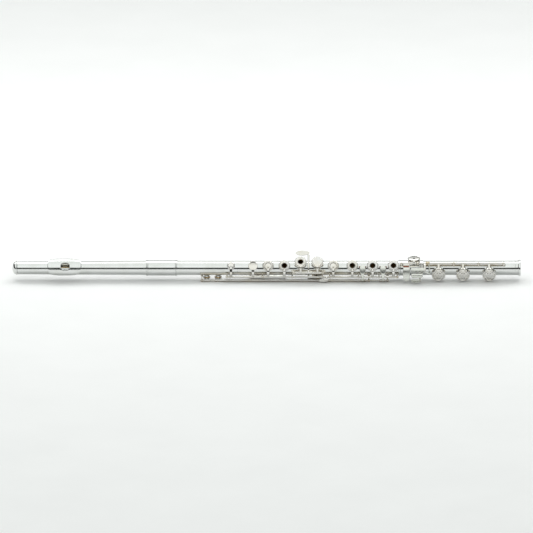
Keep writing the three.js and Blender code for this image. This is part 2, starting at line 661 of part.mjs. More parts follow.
function lowKeys() {
  const { low_c_sharp: cSharp, low_c: c, low_b: b } = HOLES;
  const { steel, sleeveBore, sleeve, tubeBore, tube } = FOOT_NEST;
  const rod = FOOT_ROD;
  const open = -OPEN.main;

  const cSharpGroup = hinged(rod, open);
  const cSharpLine = [footCentre, [1.4, 17.9], [6.1, 17.7], [11.4, 15.8]];
  const cSharpKey = join(
    rodAt(footCentre, 573, 612.9, tube),
    section(bar(cSharpLine), 573.2, 576),
    touch(cSharpLine.slice(2), 555, 576),
    cupArm(cSharp, rod, 0),
    cupSolid(cSharp),
  );
  put("low_c_sharp_key", cut(cSharpKey, hingeBore(rod, 573, 612.9, tubeBore)), WARM_SILVER, cSharpGroup);
  pad("low_c_sharp_pad", cSharp, cSharpGroup);

  const cGroup = hinged(rod, open);
  const cLine = [footCentre, [4.1, 14.1], [8.8, 12.4], [12.2, 11.7], [13.7, 13.8], [15.7, 13.2]];
  const cRoller = [17.1, 12.3];
  const cKey = join(
    rodAt(footCentre, 569.3, 618, sleeve),
    rodAt(footCentre, 617.2, 647.6, tube),
    section(bar(cLine, 1.1), 569.4, 571.8),
    touch(cLine.slice(4), 555.6, 571.8),
    rollerCarrier(cLine[5], cRoller, 555.6, 571.8),
    cupArm(c, rod, 0),
    cupSolid(c),
  );
  put("low_c_key", cut(cKey, hingeBore(rod, 569.3, 647.6, sleeveBore)), WARM_SILVER, cGroup);
  pad("low_c_pad", c, cGroup);
  put("low_c_roller", roller(cRoller, 555.6, 571.8), SILVER, cGroup);

  const bGroup = hinged(rod, open);
  const bLine = [footCentre, [4.1, 13.9], [8.7, 11.9], [12.2, 9], [16.3, 6.2], [20, 5.6], [22.6, 6]];
  const bRoller = [19.8, 8.1];
  const bKey = join(
    rodAt(footCentre, 562.9, 686.2, steel),
    rodAt(footCentre, 566.4, 568.9, sleeve),
    rodAt(footCentre, 651.6, 682.4, tube),
    section(bar(bLine, 1.1), 566.4, 568.8),
    touch(bLine.slice(5), 555.6, 568.8),
    rollerCarrier([20.3, 5.8], bRoller, 555.6, 568.8),
    cupArm(b, rod, 0),
    cupSolid(b),
  );
  put("low_b_key", bKey, WARM_SILVER, bGroup);
  pad("low_b_pad", b, bGroup);
  put("low_b_roller", roller(bRoller, 555.6, 568.8), SILVER, bGroup);
}

headJoint();
stopper();
barrelAndBody();
footTube();
ribs();
steels();
leftHandKeys();
gSharpKey();
thumbKeys();
rightHandKeys();
trillKeys();
eFlatKey();
lowKeys();

// Lay the flute down, and put the origin on the table under the middle of its box.
flute.rotation.x = radians(180 - DOWN);
const root = new THREE.Group();
root.add(flute);
const box = new THREE.Box3().setFromObject(root, true);
const middle = box.getCenter(new THREE.Vector3());
flute.position.set(-middle.x, -middle.y, -box.min.z);

export default root;
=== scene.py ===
import json
from math import asin, atan2, copysign, cos, hypot, pi, radians, sin, sqrt

import bmesh
import bpy
from mathutils import Matrix, Vector


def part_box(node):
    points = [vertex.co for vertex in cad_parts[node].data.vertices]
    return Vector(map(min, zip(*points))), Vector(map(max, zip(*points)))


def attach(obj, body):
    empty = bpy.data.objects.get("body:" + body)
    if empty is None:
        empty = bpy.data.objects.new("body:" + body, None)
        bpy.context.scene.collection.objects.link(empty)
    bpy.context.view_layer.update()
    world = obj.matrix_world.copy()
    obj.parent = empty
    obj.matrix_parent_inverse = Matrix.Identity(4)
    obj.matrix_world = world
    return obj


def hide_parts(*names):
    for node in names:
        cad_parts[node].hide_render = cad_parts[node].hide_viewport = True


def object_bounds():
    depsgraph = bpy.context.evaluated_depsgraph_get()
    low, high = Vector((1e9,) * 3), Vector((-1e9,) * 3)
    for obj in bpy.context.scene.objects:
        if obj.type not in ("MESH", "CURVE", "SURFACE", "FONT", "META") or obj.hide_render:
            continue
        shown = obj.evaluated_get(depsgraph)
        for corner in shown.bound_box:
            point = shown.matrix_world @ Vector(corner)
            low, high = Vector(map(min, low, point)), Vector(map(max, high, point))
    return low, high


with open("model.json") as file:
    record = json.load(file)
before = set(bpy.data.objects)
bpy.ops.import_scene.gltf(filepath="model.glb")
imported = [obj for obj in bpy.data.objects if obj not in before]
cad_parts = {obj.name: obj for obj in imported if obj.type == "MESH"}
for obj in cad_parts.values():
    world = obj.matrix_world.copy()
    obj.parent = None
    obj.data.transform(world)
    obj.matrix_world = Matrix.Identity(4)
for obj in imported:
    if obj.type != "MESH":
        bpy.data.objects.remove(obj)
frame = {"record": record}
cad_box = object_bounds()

# A concert flute lying on a pale floor. Its shapes are drawn in millimetres in the flute's own frame: x
# from the crown's end, the player's side towards -y, the main cups facing +z. TO_WORLD takes them to the
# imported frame. A place round the tube is an angle in degrees from the main cups towards the player, and a
# distance from the axis.

MM = 0.001

# rods: angle and distance
MAIN_ROD = (67, 16)
G_ROD = (41, 16)
TRILL_ROD = (94, 17.6)
FOOT_ROD = (-7, 16)
THUMB_ROD = (150, 16.65)

# how far the keys stand open at rest, as a turn about their rod
MAIN_OPEN = 8.5
FOOT_OPEN = -8.5
THUMB_OPEN = -13

# tube
OUTER = 9.9
WALL = 0.4
BORE = OUTER - WALL
SOCKET = 10.6
RING = 11.15

# heights in a key cup, from the tube's axis
RIM = 12
SKIRT = 13
LOW_CEILING = 13.9
CEILING = 14.3
TOP = 15.2
DOME = 15.5
FINGER_HOLE = 3.7
HINGE = 1.6
STEEL = 0.9
SPRING_WIRE = 0.4

# how many sides the round things are drawn with
TUBE_SIDES = 112
CUP_SIDES = 72
HOLE_SIDES = 64
HINGE_SIDES = 32


# ---- the flute's own frame ----


def spot(x, angle, radius):
    turn = radians(angle)
    return Vector((x, -radius * sin(turn), radius * cos(turn)))


def point(x, across, up):
    """A point given as the distance towards the player and along the main cups' normal."""
    return Vector((x, -across, up))


def middle(node):
    low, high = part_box(node)
    return (low + high) / 2


def flute_frame():
    axis = middle("barrel")
    rod = middle("left_main_steel") - axis
    drawn = spot(0, *MAIN_ROD)
    turn = atan2(rod.z, rod.y) - atan2(drawn.z, drawn.y)
    start = Vector((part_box("crown")[0].x, axis.y, axis.z))
    return Matrix.Translation(start) @ Matrix.Rotation(turn, 4, "X") @ Matrix.Diagonal((MM, MM, MM, 1))


TO_WORLD = flute_frame()
FROM_WORLD = TO_WORLD.inverted()


def span(node):
    """A node's ends along the flute, in millimetres."""
    low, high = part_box(node)
    return (FROM_WORLD @ low).x, (FROM_WORLD @ high).x


def roll(degrees):
    return Matrix.Rotation(radians(degrees), 4, "X")


def over_tube(x, angle):
    """The frame of a cup, a hole or a post: its z axis points away from the tube."""
    return Matrix.Translation((x, 0, 0)) @ roll(angle)


def along_rod(angle=0, radius=0):
    """The frame of a rod: its z axis points from the crown to the foot."""
    turned = Matrix(((0, 0, 1, 0), (1, 0, 0, 0), (0, 1, 0, 0), (0, 0, 0, 1)))
    return Matrix.Translation(spot(0, angle, radius)) @ turned


def opened(rod, degrees):
    """The turn of a key about its rod."""
    centre = spot(0, *rod)
    return Matrix.Translation(centre) @ roll(degrees) @ Matrix.Translation(-centre)


# ---- drawing ----


def turns(sides):
    return [2 * pi * i / sides for i in range(sides)]


def stitch(bm, rows, closed=False):
    """Faces between neighbouring rows of vertices; a row is a ring or a single pole."""
    pairs = list(zip(rows, rows[1:]))
    if closed:
        pairs.append((rows[-1], rows[0]))
    for low, high in pairs:
        for i in range(max(len(low), len(high))):
            places = [(low, i), (low, i + 1), (high, i + 1), (high, i)]
            corners = list(dict.fromkeys(row[k % len(row)] for row, k in places))
            if len(corners) > 2:
                bm.faces.new(corners)


def lathe(bm, profile, matrix, sides, closed=False):
    """Turns a profile of (radius, height) about the matrix's z axis."""
    rows = []
    for radius, height in profile:
        circle = [(0, 0)]
        if radius > 1e-4:
            circle = [(radius * cos(t), radius * sin(t)) for t in turns(sides)]
        rows.append([bm.verts.new(matrix @ Vector((x, y, height))) for x, y in circle])
    stitch(bm, rows, closed)


def rounded(points, radius, steps=3, closed=False):
    """A profile with its corners rounded."""
    out = []
    count = len(points)
    for i, corner in enumerate(points):
        if not closed and i in (0, count - 1):
            out.append(tuple(corner))
            continue
        here, before, after = map(Vector, (corner, points[i - 1], points[(i + 1) % count]))
        reach = min(radius, 0.45 * (before - here).length, 0.45 * (after - here).length)
        start = here + (before - here).normalized() * reach
        end = here + (after - here).normalized() * reach
        for k in range(steps + 1):
            t = k / steps
            out.append(tuple((1 - t) ** 2 * start + 2 * t * (1 - t) * here + t * t * end))
    return out


def catmull_rom(p, q, r, s, t):
    """The value at a share t of the way from q to r, on a curve through all four."""
    return (2 * q + (r - p) * t + (2 * p - 5 * q + 4 * r - s) * t**2 + (3 * q - p - 3 * r + s) * t**3) / 2


def smooth(points, steps):
    """A smooth curve through points, which may carry more than a place, such as a width."""
    out = []
    last = len(points) - 1
    for i in range(last):
        four = [points[min(max(k, 0), last)] for k in (i - 1, i, i + 1, i + 2)]
        for k in range(steps):
            out.append([catmull_rom(*each, k / steps) for each in zip(*four)])
    out.append(list(points[-1]))
    return out


def bar_section(width, thickness, ridge):
    """A rounded bar's section, with a ridge along the middle of its upper side."""
    corner = 0.45 * min(width, thickness)
    half, rise = width / 2 - corner, thickness / 2 - corner
    out = []
    for quarter, (u, v) in enumerate([(half, rise), (-half, rise), (-half, -rise), (half, -rise)]):
        for k in range(4):
            turn = radians(90 * quarter + 30 * k)
            out.append((u + corner * cos(turn), v + corner * sin(turn)))
        if quarter == 0:
            out.append((0, thickness / 2 + ridge))
    return out


# a bar's end: how far in each row stands and how far its edge is drawn in, as shares of the corner
END_ROUNDING = ((0, 1), (0.29, 0.29), (1, 0))


def ribbon(bm, line, across=(1, 0, 0), ridge=0.0, steps=5):
    """A bar with rounded edges and ends along a smooth line of (x, y, z, width, thickness)."""
    stations = smooth(line, steps)
    places = [Vector(s[:3]) for s in stations]
    last = len(stations) - 1

    def axes(i):
        tangent = (places[min(i + 1, last)] - places[max(i - 1, 0)]).normalized()
        side = Vector(across)
        side = (side - tangent * side.dot(tangent)).normalized()
        return tangent, side, side.cross(tangent)

    centre = last // 2
    outward = Vector((0, places[centre].y, places[centre].z))
    sign = -1 if axes(centre)[2].dot(outward) < 0 else 1
    rows = []

    def row(i, shift, shrink):
        tangent, side, out = axes(i)
        width, thickness = stations[i][3] - 2 * shrink, stations[i][4] - 2 * shrink
        place = places[i] + tangent * shift
        around = bar_section(max(width, 0.02), max(thickness, 0.02), ridge)
        rows.append([bm.verts.new(place + side * u + out * (sign * v)) for u, v in around])

    def corner(i):
        return 0.45 * min(stations[i][3], stations[i][4])

    for shift, shrink in END_ROUNDING:
        row(0, corner(0) * shift, corner(0) * shrink)
    for i in range(1, last):
        row(i, 0, 0)
    for shift, shrink in reversed(END_ROUNDING):
        row(last, -corner(last) * shift, corner(last) * shrink)
    stitch(bm, rows)
    bm.faces.new(rows[0])
    bm.faces.new(rows[-1])


def at_x(x, stations):
    """Stations of (across, up, width, thickness) in the plane across the flute at x."""
    return [(x, -across, up, width, thickness) for across, up, width, thickness in stations]


def rolled(x, angle, stations):
    """Stations as at_x takes them, rolled round the tube by an angle."""
    matrix = roll(angle)
    return [(*(matrix @ Vector(station[:3])), *station[3:]) for station in at_x(x, stations)]


def strap(bm, x0, x1, angle0, angle1, inner, thickness):
    """A plate that follows the tube between two angles."""
    steps = 6
    angles = [angle0 + (angle1 - angle0) * i / steps for i in range(steps + 1)]
    places = [spot((x0 + x1) / 2, angle, inner + thickness / 2) for angle in angles]
    ribbon(bm, [(*place, x1 - x0, thickness) for place in places], steps=2)


def slotted_head(bm, x, rod, radius, direction):
    """A rod's slotted end: a disc with a segment standing on each side of its slot."""
    matrix = along_rod(*rod)
    floor, top = x + 0.25 * direction, x + 0.6 * direction
    lathe(bm, [(0, x), (radius, x), (radius, floor), (0, floor)], matrix, 24)
    half_slot = 0.28
    start = asin(half_slot / radius)
    for side in (0, pi):
        arc = [side + start + (pi - 2 * start) * i / 12 for i in range(13)]
        rings = []
        for height, inset in ((floor, 0), (top - 0.1 * direction, 0), (top, 0.1)):
            size = radius - inset
            places = [Vector((size * cos(t), size * sin(t), height)) for t in arc]
            rings.append([bm.verts.new(matrix @ place) for place in places])
        stitch(bm, rings)
        bm.faces.new(rings[0])
        bm.faces.new(rings[-1])


# ---- pieces ----

BODY_OF = {node: body for body, nodes in frame["record"]["behaviour"]["bodies"].items() for node in nodes}


def in_scene(name, data):
    made = bpy.data.objects.new(name, data)
    bpy.context.scene.collection.objects.link(made)
    return made


def carved(bm, cutter):
    """What is left of one closed mesh when another is cut out of it."""
    objects = []
    for source in (bm, cutter):
        bmesh.ops.recalc_face_normals(source, faces=source.faces)
        mesh = bpy.data.meshes.new("carving")
        source.to_mesh(mesh)
        source.free()
        objects.append(in_scene("carving", mesh))
    kept, tool = objects
    modifier = kept.modifiers.new("cut", "BOOLEAN")
    modifier.operation = "DIFFERENCE"
    modifier.solver = "EXACT"
    modifier.object = tool
    result = bmesh.new()
    result.from_object(kept, bpy.context.evaluated_depsgraph_get())
    for made in objects:
        bpy.data.objects.remove(made)
    return result


def set_turned_normals(mesh):
    """Gives the round surfaces of a bored tube the normals of a true cylinder; zero leaves one alone."""
    normals = [Vector((0, 0, 0))] * len(mesh.loops)
    for face in mesh.polygons:
        place = FROM_WORLD @ face.center
        radial = Vector((0, place.y, place.z)).normalized()
        normal = (FROM_WORLD.to_3x3() @ face.normal).normalized()
        facing = normal.dot(radial)
        if abs(facing) < 0.995:
            continue
        for loop in face.loop_indices:
            here = FROM_WORLD @ mesh.vertices[mesh.loops[loop].vertex_index].co
            outward = Vector((0, here.y, here.z)) * copysign(1, facing)
            normals[loop] = (TO_WORLD.to_3x3() @ outward).normalized()
    mesh.normals_split_custom_set(normals)


def paint_bore_shade(mesh, names):
    """Paints a tube's bore and the insides of its tone holes a dull dark brown: painted shade, with a
    painted reflection of the gold pads.
    """
    mesh.materials.append(BORE_SHADE_PAINT)
    foot_end = span("foot_tube")[1]
    cups = map(cup_at, names)
    holes = [(over_tube(x, angle).inverted(), cup - HOLE_INSET - 0.3) for x, angle, cup in cups]
    for face in mesh.polygons:
        place = FROM_WORLD @ face.center
        inside = hypot(place.y, place.z) < OUTER - 0.15 and place.x < foot_end - 0.4
        for unturned, radius in holes:
            local = unturned @ place
            inside = inside or (local.z > 0 and hypot(local.x, local.y) < radius)
        if inside:
            face.material_index = 1


def piece(name, bm, material, node, turn=None, stands_for=None, sharp=32, turned=False):
    """An object of what was drawn; it rides with its node's body and stands for that node or those given."""
    bmesh.ops.transform(bm, matrix=TO_WORLD @ (turn or Matrix.Identity(4)), verts=bm.verts)
    bmesh.ops.recalc_face_normals(bm, faces=bm.faces)
    mesh = bpy.data.meshes.new(name)
    bm.to_mesh(mesh)
    bm.free()
    mesh.materials.append(material)
    mesh.shade_smooth()
    mesh.set_sharp_from_angle(angle=radians(sharp))
    if turned:
        set_turned_normals(mesh)
    made = in_scene(name, mesh)
    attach(made, BODY_OF[node])
    replaced = [node] if stands_for is None else stands_for
    if replaced:
        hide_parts(*replaced)
    return made


# ---- materials ----


def add_node(tree, kind, values=()):
    """A shader node with some of its inputs set."""
    node = tree.nodes.new("ShaderNode" + kind)
    for socket, value in dict(values).items():
        node.inputs[socket].default_value = value
    return node


def colour_ramp(tree, value, stops):
    """A colour that depends on a value, through stops of (value, colour)."""
    ramp = add_node(tree, "ValToRGB")
    elements = ramp.color_ramp.elements
    while len(elements) < len(stops):
        elements.new(0.5)
    for element, (position, colour) in zip(elements, stops):
        element.position = position
        element.color = (*colour, 1)
    tree.links.new(value, ramp.inputs["Fac"])
    return ramp.outputs["Color"]


class Painter:
    """A principled material whose colour, roughness and relief vary by noise in the object's own space."""

    def __init__(self, name, colour, roughness, metallic):
        self.material = bpy.data.materials.new(name)
        self.material.use_nodes = True
        self.tree = self.material.node_tree
        self.shader = self.tree.nodes["Principled BSDF"]
        self.shader.inputs["Base Color"].default_value = (*colour, 1)
        self.shader.inputs["Roughness"].default_value = roughness
        self.shader.inputs["Metallic"].default_value = metallic
        self.place = self.add("TexCoord").outputs["Object"]

    def add(self, kind, values=()):
        return add_node(self.tree, kind, values)

    def link(self, output, target):
        self.tree.links.new(output, target)

    def noise(self, scale, stretch=(1, 1, 1), detail=3, roughness=0.55):
        mapping = self.add("Mapping", {"Scale": stretch})
        self.link(self.place, mapping.inputs["Vector"])
        texture = self.add("TexNoise", {"Scale": scale, "Detail": detail, "Roughness": roughness})
        self.link(mapping.outputs["Vector"], texture.inputs["Vector"])
        return texture.outputs["Fac"]

    def cells(self, scale):
        texture = self.add("TexVoronoi", {"Scale": scale})
        self.link(self.place, texture.inputs["Vector"])
        return texture.outputs["Distance"]

    def colours(self, value, stops):
        self.link(colour_ramp(self.tree, value, stops), self.shader.inputs["Base Color"])

    def roughness(self, value, low, high):
        limits = {"From Min": 0.3, "From Max": 0.7, "To Min": low, "To Max": high}
        spread = self.add("MapRange", limits)
        self.link(value, spread.inputs["Value"])
        self.link(spread.outputs["Result"], self.shader.inputs["Roughness"])

    def paint_crevice_shade(self, colour):
        """Paints shade: darkens, towards the given colour, what lies close to other surfaces, as ambient
        occlusion finds it.
        """
        closeness = self.add("AmbientOcclusion", {"Distance": 3.5 * MM})
        closeness.samples = 6
        reach = self.add("MapRange", {"From Min": 0.15, "From Max": 0.7})
        self.link(closeness.outputs["AO"], reach.inputs["Value"])
        mix = self.add("Mix")
        mix.data_type = "RGBA"
        mix.inputs["A"].default_value = (*colour, 1)
        self.link(reach.outputs["Result"], mix.inputs["Factor"])
        target = self.shader.inputs["Base Color"]
        self.link(target.links[0].from_socket, mix.inputs["B"])
        self.link(mix.outputs["Result"], target)

    def relief(self, value, strength, distance):
        bump = self.add("Bump", {"Strength": strength, "Distance": distance})
        self.link(value, bump.inputs["Height"])
        self.link(bump.outputs["Normal"], self.shader.inputs["Normal"])


def polished(name, bright, tarnish_and_shade, smooth_value, rough_value, crevice_shade=None):
    """Polished metal with faint clouds of a darker tone (tarnished patches; in the bore, painted shade),
    fine polishing lines and, where a colour for it is given, painted shade in its hollows.
    """
    paint = Painter(name, bright, smooth_value, 1)
    paint.colours(paint.noise(55, detail=5), [(0.3, tarnish_and_shade), (0.58, bright), (0.8, bright)])
    paint.roughness(paint.noise(160, (0.35, 1, 1), detail=6, roughness=0.7), smooth_value, rough_value)
    paint.relief(paint.noise(900, (0.06, 1, 1), detail=2), 0.03, 0.0001)
    # painted shade: the given colour is laid into the hollows by ambient occlusion
    if crevice_shade:
        paint.paint_crevice_shade(crevice_shade)
    return paint.material


def skin():
    """The pads' goldbeater's skin, stretched over felt."""
    paint = Painter("pad_skin", (0.72, 0.5, 0.24), 0.45, 0)
    stops = [(0.25, (0.55, 0.34, 0.13)), (0.5, (0.74, 0.52, 0.25)), (0.8, (0.86, 0.68, 0.4))]
    paint.colours(paint.noise(420, detail=5), stops)
    paint.roughness(paint.noise(700), 0.35, 0.6)
    paint.relief(paint.noise(1500, detail=5), 0.35, 0.0001)
    paint.shader.inputs["Coat Weight"].default_value = 0.15
    return paint.material


def cork():
    paint = Painter("key_cork", (0.5, 0.31, 0.17), 0.85, 0)
    stops = [(0.1, (0.2, 0.1, 0.05)), (0.3, (0.48, 0.29, 0.15)), (0.8, (0.62, 0.42, 0.25))]
    paint.colours(paint.cells(1400), stops)
    paint.roughness(paint.noise(900), 0.75, 0.95)
    paint.relief(paint.cells(1400), 0.5, 0.0002)
    return paint.material


def felt():
    dark, bright = (0.18, 0.045, 0.018), (0.36, 0.11, 0.045)
    paint = Painter("rust_felt", bright, 0.95, 0)
    paint.colours(paint.noise(2600, detail=6), [(0.3, dark), (0.7, bright)])
    paint.roughness(paint.noise(1800), 0.85, 1.0)
    paint.relief(paint.noise(5200, detail=4), 0.8, 0.0002)
    paint.shader.inputs["Sheen Weight"].default_value = 0.5
    return paint.material


SILVER = polished("tube_silver", (0.71, 0.72, 0.71), (0.65, 0.66, 0.635), 0.08, 0.15)
# The last colour given to key_silver, rib_silver and worn_collar is painted shade, laid into their hollows
# by ambient occlusion.
KEY_SILVER = polished(
    "key_silver", (0.74, 0.73, 0.705), (0.68, 0.65, 0.58), 0.08, 0.15, (0.42, 0.31, 0.15)
)
TOUCH_SILVER = polished("worn_touch_silver", (0.72, 0.73, 0.69), (0.65, 0.66, 0.6), 0.2, 0.34)
RIB_SILVER = polished("rib_silver", (0.72, 0.71, 0.66), (0.62, 0.56, 0.45), 0.14, 0.26, (0.4, 0.3, 0.15))
# The bore's dull dark brown is painted shade, with a painted reflection of the gold pads.
BORE_SHADE_PAINT = polished("painted_shade_bore", (0.36, 0.27, 0.15), (0.16, 0.1, 0.05), 0.35, 0.5)
BRASS_TONE = polished("worn_collar", (0.72, 0.64, 0.48), (0.45, 0.33, 0.18), 0.16, 0.3, (0.3, 0.2, 0.09))
GOLD_RISER = polished("warm_riser", (0.8, 0.6, 0.32), (0.5, 0.32, 0.15), 0.12, 0.25)
ROD_STEEL = polished("rod_steel", (0.66, 0.63, 0.58), (0.5, 0.44, 0.36), 0.18, 0.32)
SPRING_BLUE = polished("blued_spring", (0.12, 0.16, 0.28), (0.2, 0.14, 0.12), 0.2, 0.35)
PAD_SKIN = skin()
CORK = cork()
RUST_FELT = felt()


# ---- head joint ----

HEAD_START, TAPER_END, HEAD_END = 7, 181, 216
CROWN_TUBE = 8.9
EMBOUCHURE_X = 73.5
EMBOUCHURE_ANGLE = 5
HOLE_HALF_LENGTH, HOLE_HALF_WIDTH, HOLE_POWER = 6.1, 5.35, 2.5
LIP_POWER = 3.3
LIP_OUTER = 13.9


def head_radius(x):
    share = min((x - HEAD_START) / (TAPER_END - HEAD_START), 1)
    return CROWN_TUBE + (OUTER - CROWN_TUBE) * share


def squircle(half_length, half_width, power):
    """A rounded oblong as a list of places; the higher the power, the squarer it is."""

    def share(value):
        return copysign(abs(value) ** (2 / power), value)

    return [(half_length * share(cos(t)), half_width * share(sin(t))) for t in turns(72)]


def on_round(height, v):
    """How high a round surface of that radius is at a distance across from its crest."""
    return sqrt(max(height * height - v * v, 0))


def raised_row(bm, matrix, places, height, radius=0):
    """A row of vertices at a height over a round surface, or over a flat one where there is no radius."""
    return [bm.verts.new(matrix @ Vector((u, v, height + on_round(radius, v)))) for u, v in places]


def embouchure_row(bm, grow, height, radius=0):
    """A row round the embouchure hole, as raised_row takes it."""
    places = squircle(HOLE_HALF_LENGTH + grow, HOLE_HALF_WIDTH + grow, HOLE_POWER)
    return raised_row(bm, over_tube(EMBOUCHURE_X, EMBOUCHURE_ANGLE), places, height, radius)


def draw_crown():
    bm = bmesh.new()
    quarter = [pi / 2 * i / 14 for i in range(15)]
    dome = [(8.7 * sin(t), 4.7 - 4.7 * cos(t)) for t in quarter]
    half = [pi * i / 10 for i in range(11)]
    edge = [(8.75 + 0.8 * sin(t), 5.95 - 0.8 * cos(t)) for t in half]
    screw_hole = [(2.4, 11.5), (2.4, 2.3), (0, 2.3)]
    lathe(bm, dome + edge + [(7.9, 6.9), (7.9, 11.5)] + screw_hole, along_rod(), 96)
    piece("crown_dome", bm, SILVER, "crown")


def draw_stopper():
    bm = bmesh.new()
    start, end = span("stopper_screw")
    disc = end - 1
    profile = [(0, start), (1.2, start)]
    pitch = 0.8
    threads = int((disc - 1 - start) / pitch)
    for i in range(threads):
        low = start + 0.3 + i * pitch
        profile += [(1.25, low), (1.58, low + pitch / 2)]
    edge = head_radius(disc) - 0.7
    profile += [(1.25, disc - 0.6), (1.6, disc), (edge - 0.15, disc), (edge, disc + 0.15)]
    profile += [(edge, end - 0.15), (edge - 0.15, end), (1.5, end), (1.1, end - 0.2), (0, end - 0.2)]
    lathe(bm, profile, along_rod(), 40)
    piece("threaded_stopper_screw", bm, ROD_STEEL, "stopper_screw")

    bm = bmesh.new()
    low, high = span("head_cork")
    edge = head_radius(low) - 0.72
    ring = rounded([(1.95, low), (edge, low), (edge + 0.05, high), (1.95, high)], 0.5, closed=True)
    lathe(bm, ring, along_rod(), 56, closed=True)
    piece("head_cork_plug", bm, CORK, "head_cork")


def draw_head_tube():
    bm = bmesh.new()
    ring = [(CROWN_TUBE - WALL, HEAD_START)]
    stations = 30
    places = [HEAD_START + (TAPER_END - HEAD_START) * i / stations for i in range(stations + 1)]
    ring += [(head_radius(x), x) for x in places]
    ring += [(OUTER, HEAD_END), (BORE, HEAD_END), (BORE, TAPER_END)]
    lathe(bm, ring, along_rod(), TUBE_SIDES, closed=True)
    plug = bmesh.new()
    rows = [embouchure_row(plug, 0.45, height) for height in (4, 12)]
    stitch(plug, rows)
    for row in rows:
        plug.faces.new(row)
    bm = carved(bm, plug)
    piece("tapered_head_tube", bm, SILVER, "head_tube", turned=True)


def draw_riser():
    bm = bmesh.new()
    tube = head_radius(EMBOUCHURE_X)
    inside = [(0.02, LIP_OUTER - 0.45), (0.02, LIP_OUTER - 1.2), (0.3, tube + 0.4), (0.38, tube - 0.35)]
    outside = [(1.7, tube - 0.1), (1.25, tube + 0.35), (1.0, tube + 1.2)]
    outside += [(0.9, LIP_OUTER - 0.75), (0.45, LIP_OUTER - 0.45)]
    stitch(bm, [embouchure_row(bm, grow, 0, radius) for grow, radius in inside + outside], closed=True)
    piece("embouchure_chimney", bm, GOLD_RISER, "embouchure_riser")


def draw_lip_plate():
    """A crowned plate that wraps round the tube, with its hole rolled in and its edges thinned."""
    bm = bmesh.new()
    start, end = span("lip_plate")
    along, half_length = (start + end) / 2 - EMBOUCHURE_X, (end - start) / 2
    half_arc = radians(62) * LIP_OUTER
    shift = -radians(1) * LIP_OUTER
    matrix = over_tube(EMBOUCHURE_X, EMBOUCHURE_ANGLE)
    hole = squircle(HOLE_HALF_LENGTH, HOLE_HALF_WIDTH, HOLE_POWER)
    outline = [(u + along, v + shift) for u, v in squircle(half_length, half_arc, LIP_POWER)]

    def row(share, radius):
        out = []
        for (u0, v0), (u1, v1) in zip(hole, outline):
            turn = (v0 + (v1 - v0) * share) / LIP_OUTER
            place = (u0 + (u1 - u0) * share, radius * sin(turn), radius * cos(turn))
            out.append(bm.verts.new(matrix @ Vector(place)))
        return out

    thin = 0.75
    steps = 14
    shares = [0.05 + 0.93 * i / steps for i in range(1, steps + 1)]
    depths = [(0.0, thin), (-0.012, 0.55), (0.0, 0.22), (0.025, 0.04)]
    depths += [(share, 0.55 * share**4) for share in shares] + [(1.0, 0.85), (0.985, 1.15)]
    depths += [(share, thin + 0.45 * share**4) for share in reversed(shares)]
    rows = [row(share, LIP_OUTER - depth) for share, depth in depths]
    stitch(bm, rows, closed=True)
    piece("lip_plate_shell", bm, SILVER, "lip_plate", sharp=50)


# ---- tubes ----

# tone holes, by the name of their key: their angles round the tube
BODY_HOLES = {"d_sharp_trill": 128, "d_trill": 128, "c_sharp": 0, "b_thumb": 185, "b_flat": 0, "a": 0}
BODY_HOLES |= {"g": -18.5, "lower_g": -18.5, "g_sharp": 140, "f_sharp": 0, "f": 0, "e": 0, "d": 0}
FOOT_HOLES = {"e_flat": -52, "low_c_sharp": 60, "low_c": 60, "low_b": 60}
PAD_INSET = 0.8
HOLE_INSET = 1.5


def cup_at(name):
    """A cup's place along the flute, its angle and its radius, from the box of its pad."""
    low, high = span(name + "_pad")
    return (low + high) / 2, (BODY_HOLES | FOOT_HOLES)[name], (high - low) / 2 + PAD_INSET


def draw_hole_wall(bm, name):
    """A tone hole's wall, drawn up out of the tube with a fillet and rolled over at its rim."""
    x, angle, cup = cup_at(name)
    radius = cup - HOLE_INSET
    matrix = over_tube(x, angle)

    def row(size, height, over=0):
        places = [(size * cos(t), size * sin(t)) for t in turns(HOLE_SIDES)]
        return raised_row(bm, matrix, places, height, over)

    fillet = [(1.1, -0.12), (0.6, 0.05), (0.25, 0.3), (0.05, 0.75), (0, 1.15)]
    rows = [row(radius + grow, height, OUTER) for grow, height in fillet]
    rows.append(row(radius, RIM - 0.75))
    for i in range(9):
        t = pi * i / 8
        rows.append(row(radius - 0.17 + 0.32 * cos(t), RIM - 0.32 + 0.32 * sin(t)))
    rows += [row(radius - 0.45, RIM - 1), row(radius - 0.45, -0.3, OUTER)]
    stitch(bm, rows, closed=True)


def drilled(bm, holes):
    cutter = bmesh.new()
    for x, angle, cup in map(cup_at, holes):
        size = cup - HOLE_INSET - 0.2
        lathe(cutter, [(0, 4), (size, 4), (size, 11.4), (0, 11.4)], over_tube(x, angle), HOLE_SIDES)
    bm = carved(bm, cutter)
    for name in holes:
        draw_hole_wall(bm, name)
    return bm


def bead(x, inner, outer, half):
    """A turned ring as part of a tube's outline."""
    arc = [pi * i / 8 for i in range(9)]
    return [(inner + (outer - inner) * sin(t), x - half * cos(t)) for t in arc]


def draw_barrel():
    bm = bmesh.new()
    start, end = span("barrel")
    inner = OUTER + 0.3
    outline = [(inner, start), (SOCKET - 0.15, start)]
    for x in (start + 1.9, end - 2):
        outline += bead(x - 1.15, SOCKET, SOCKET + 0.22, 0.3)
        outline += bead(x, SOCKET, RING, 0.85)
        outline += bead(x + 1.15, SOCKET, SOCKET + 0.22, 0.3)
    outline += [(SOCKET - 0.15, end), (inner, end)]
    lathe(bm, outline, along_rod(), TUBE_SIDES, closed=True)
    piece("ringed_barrel", bm, SILVER, "barrel")


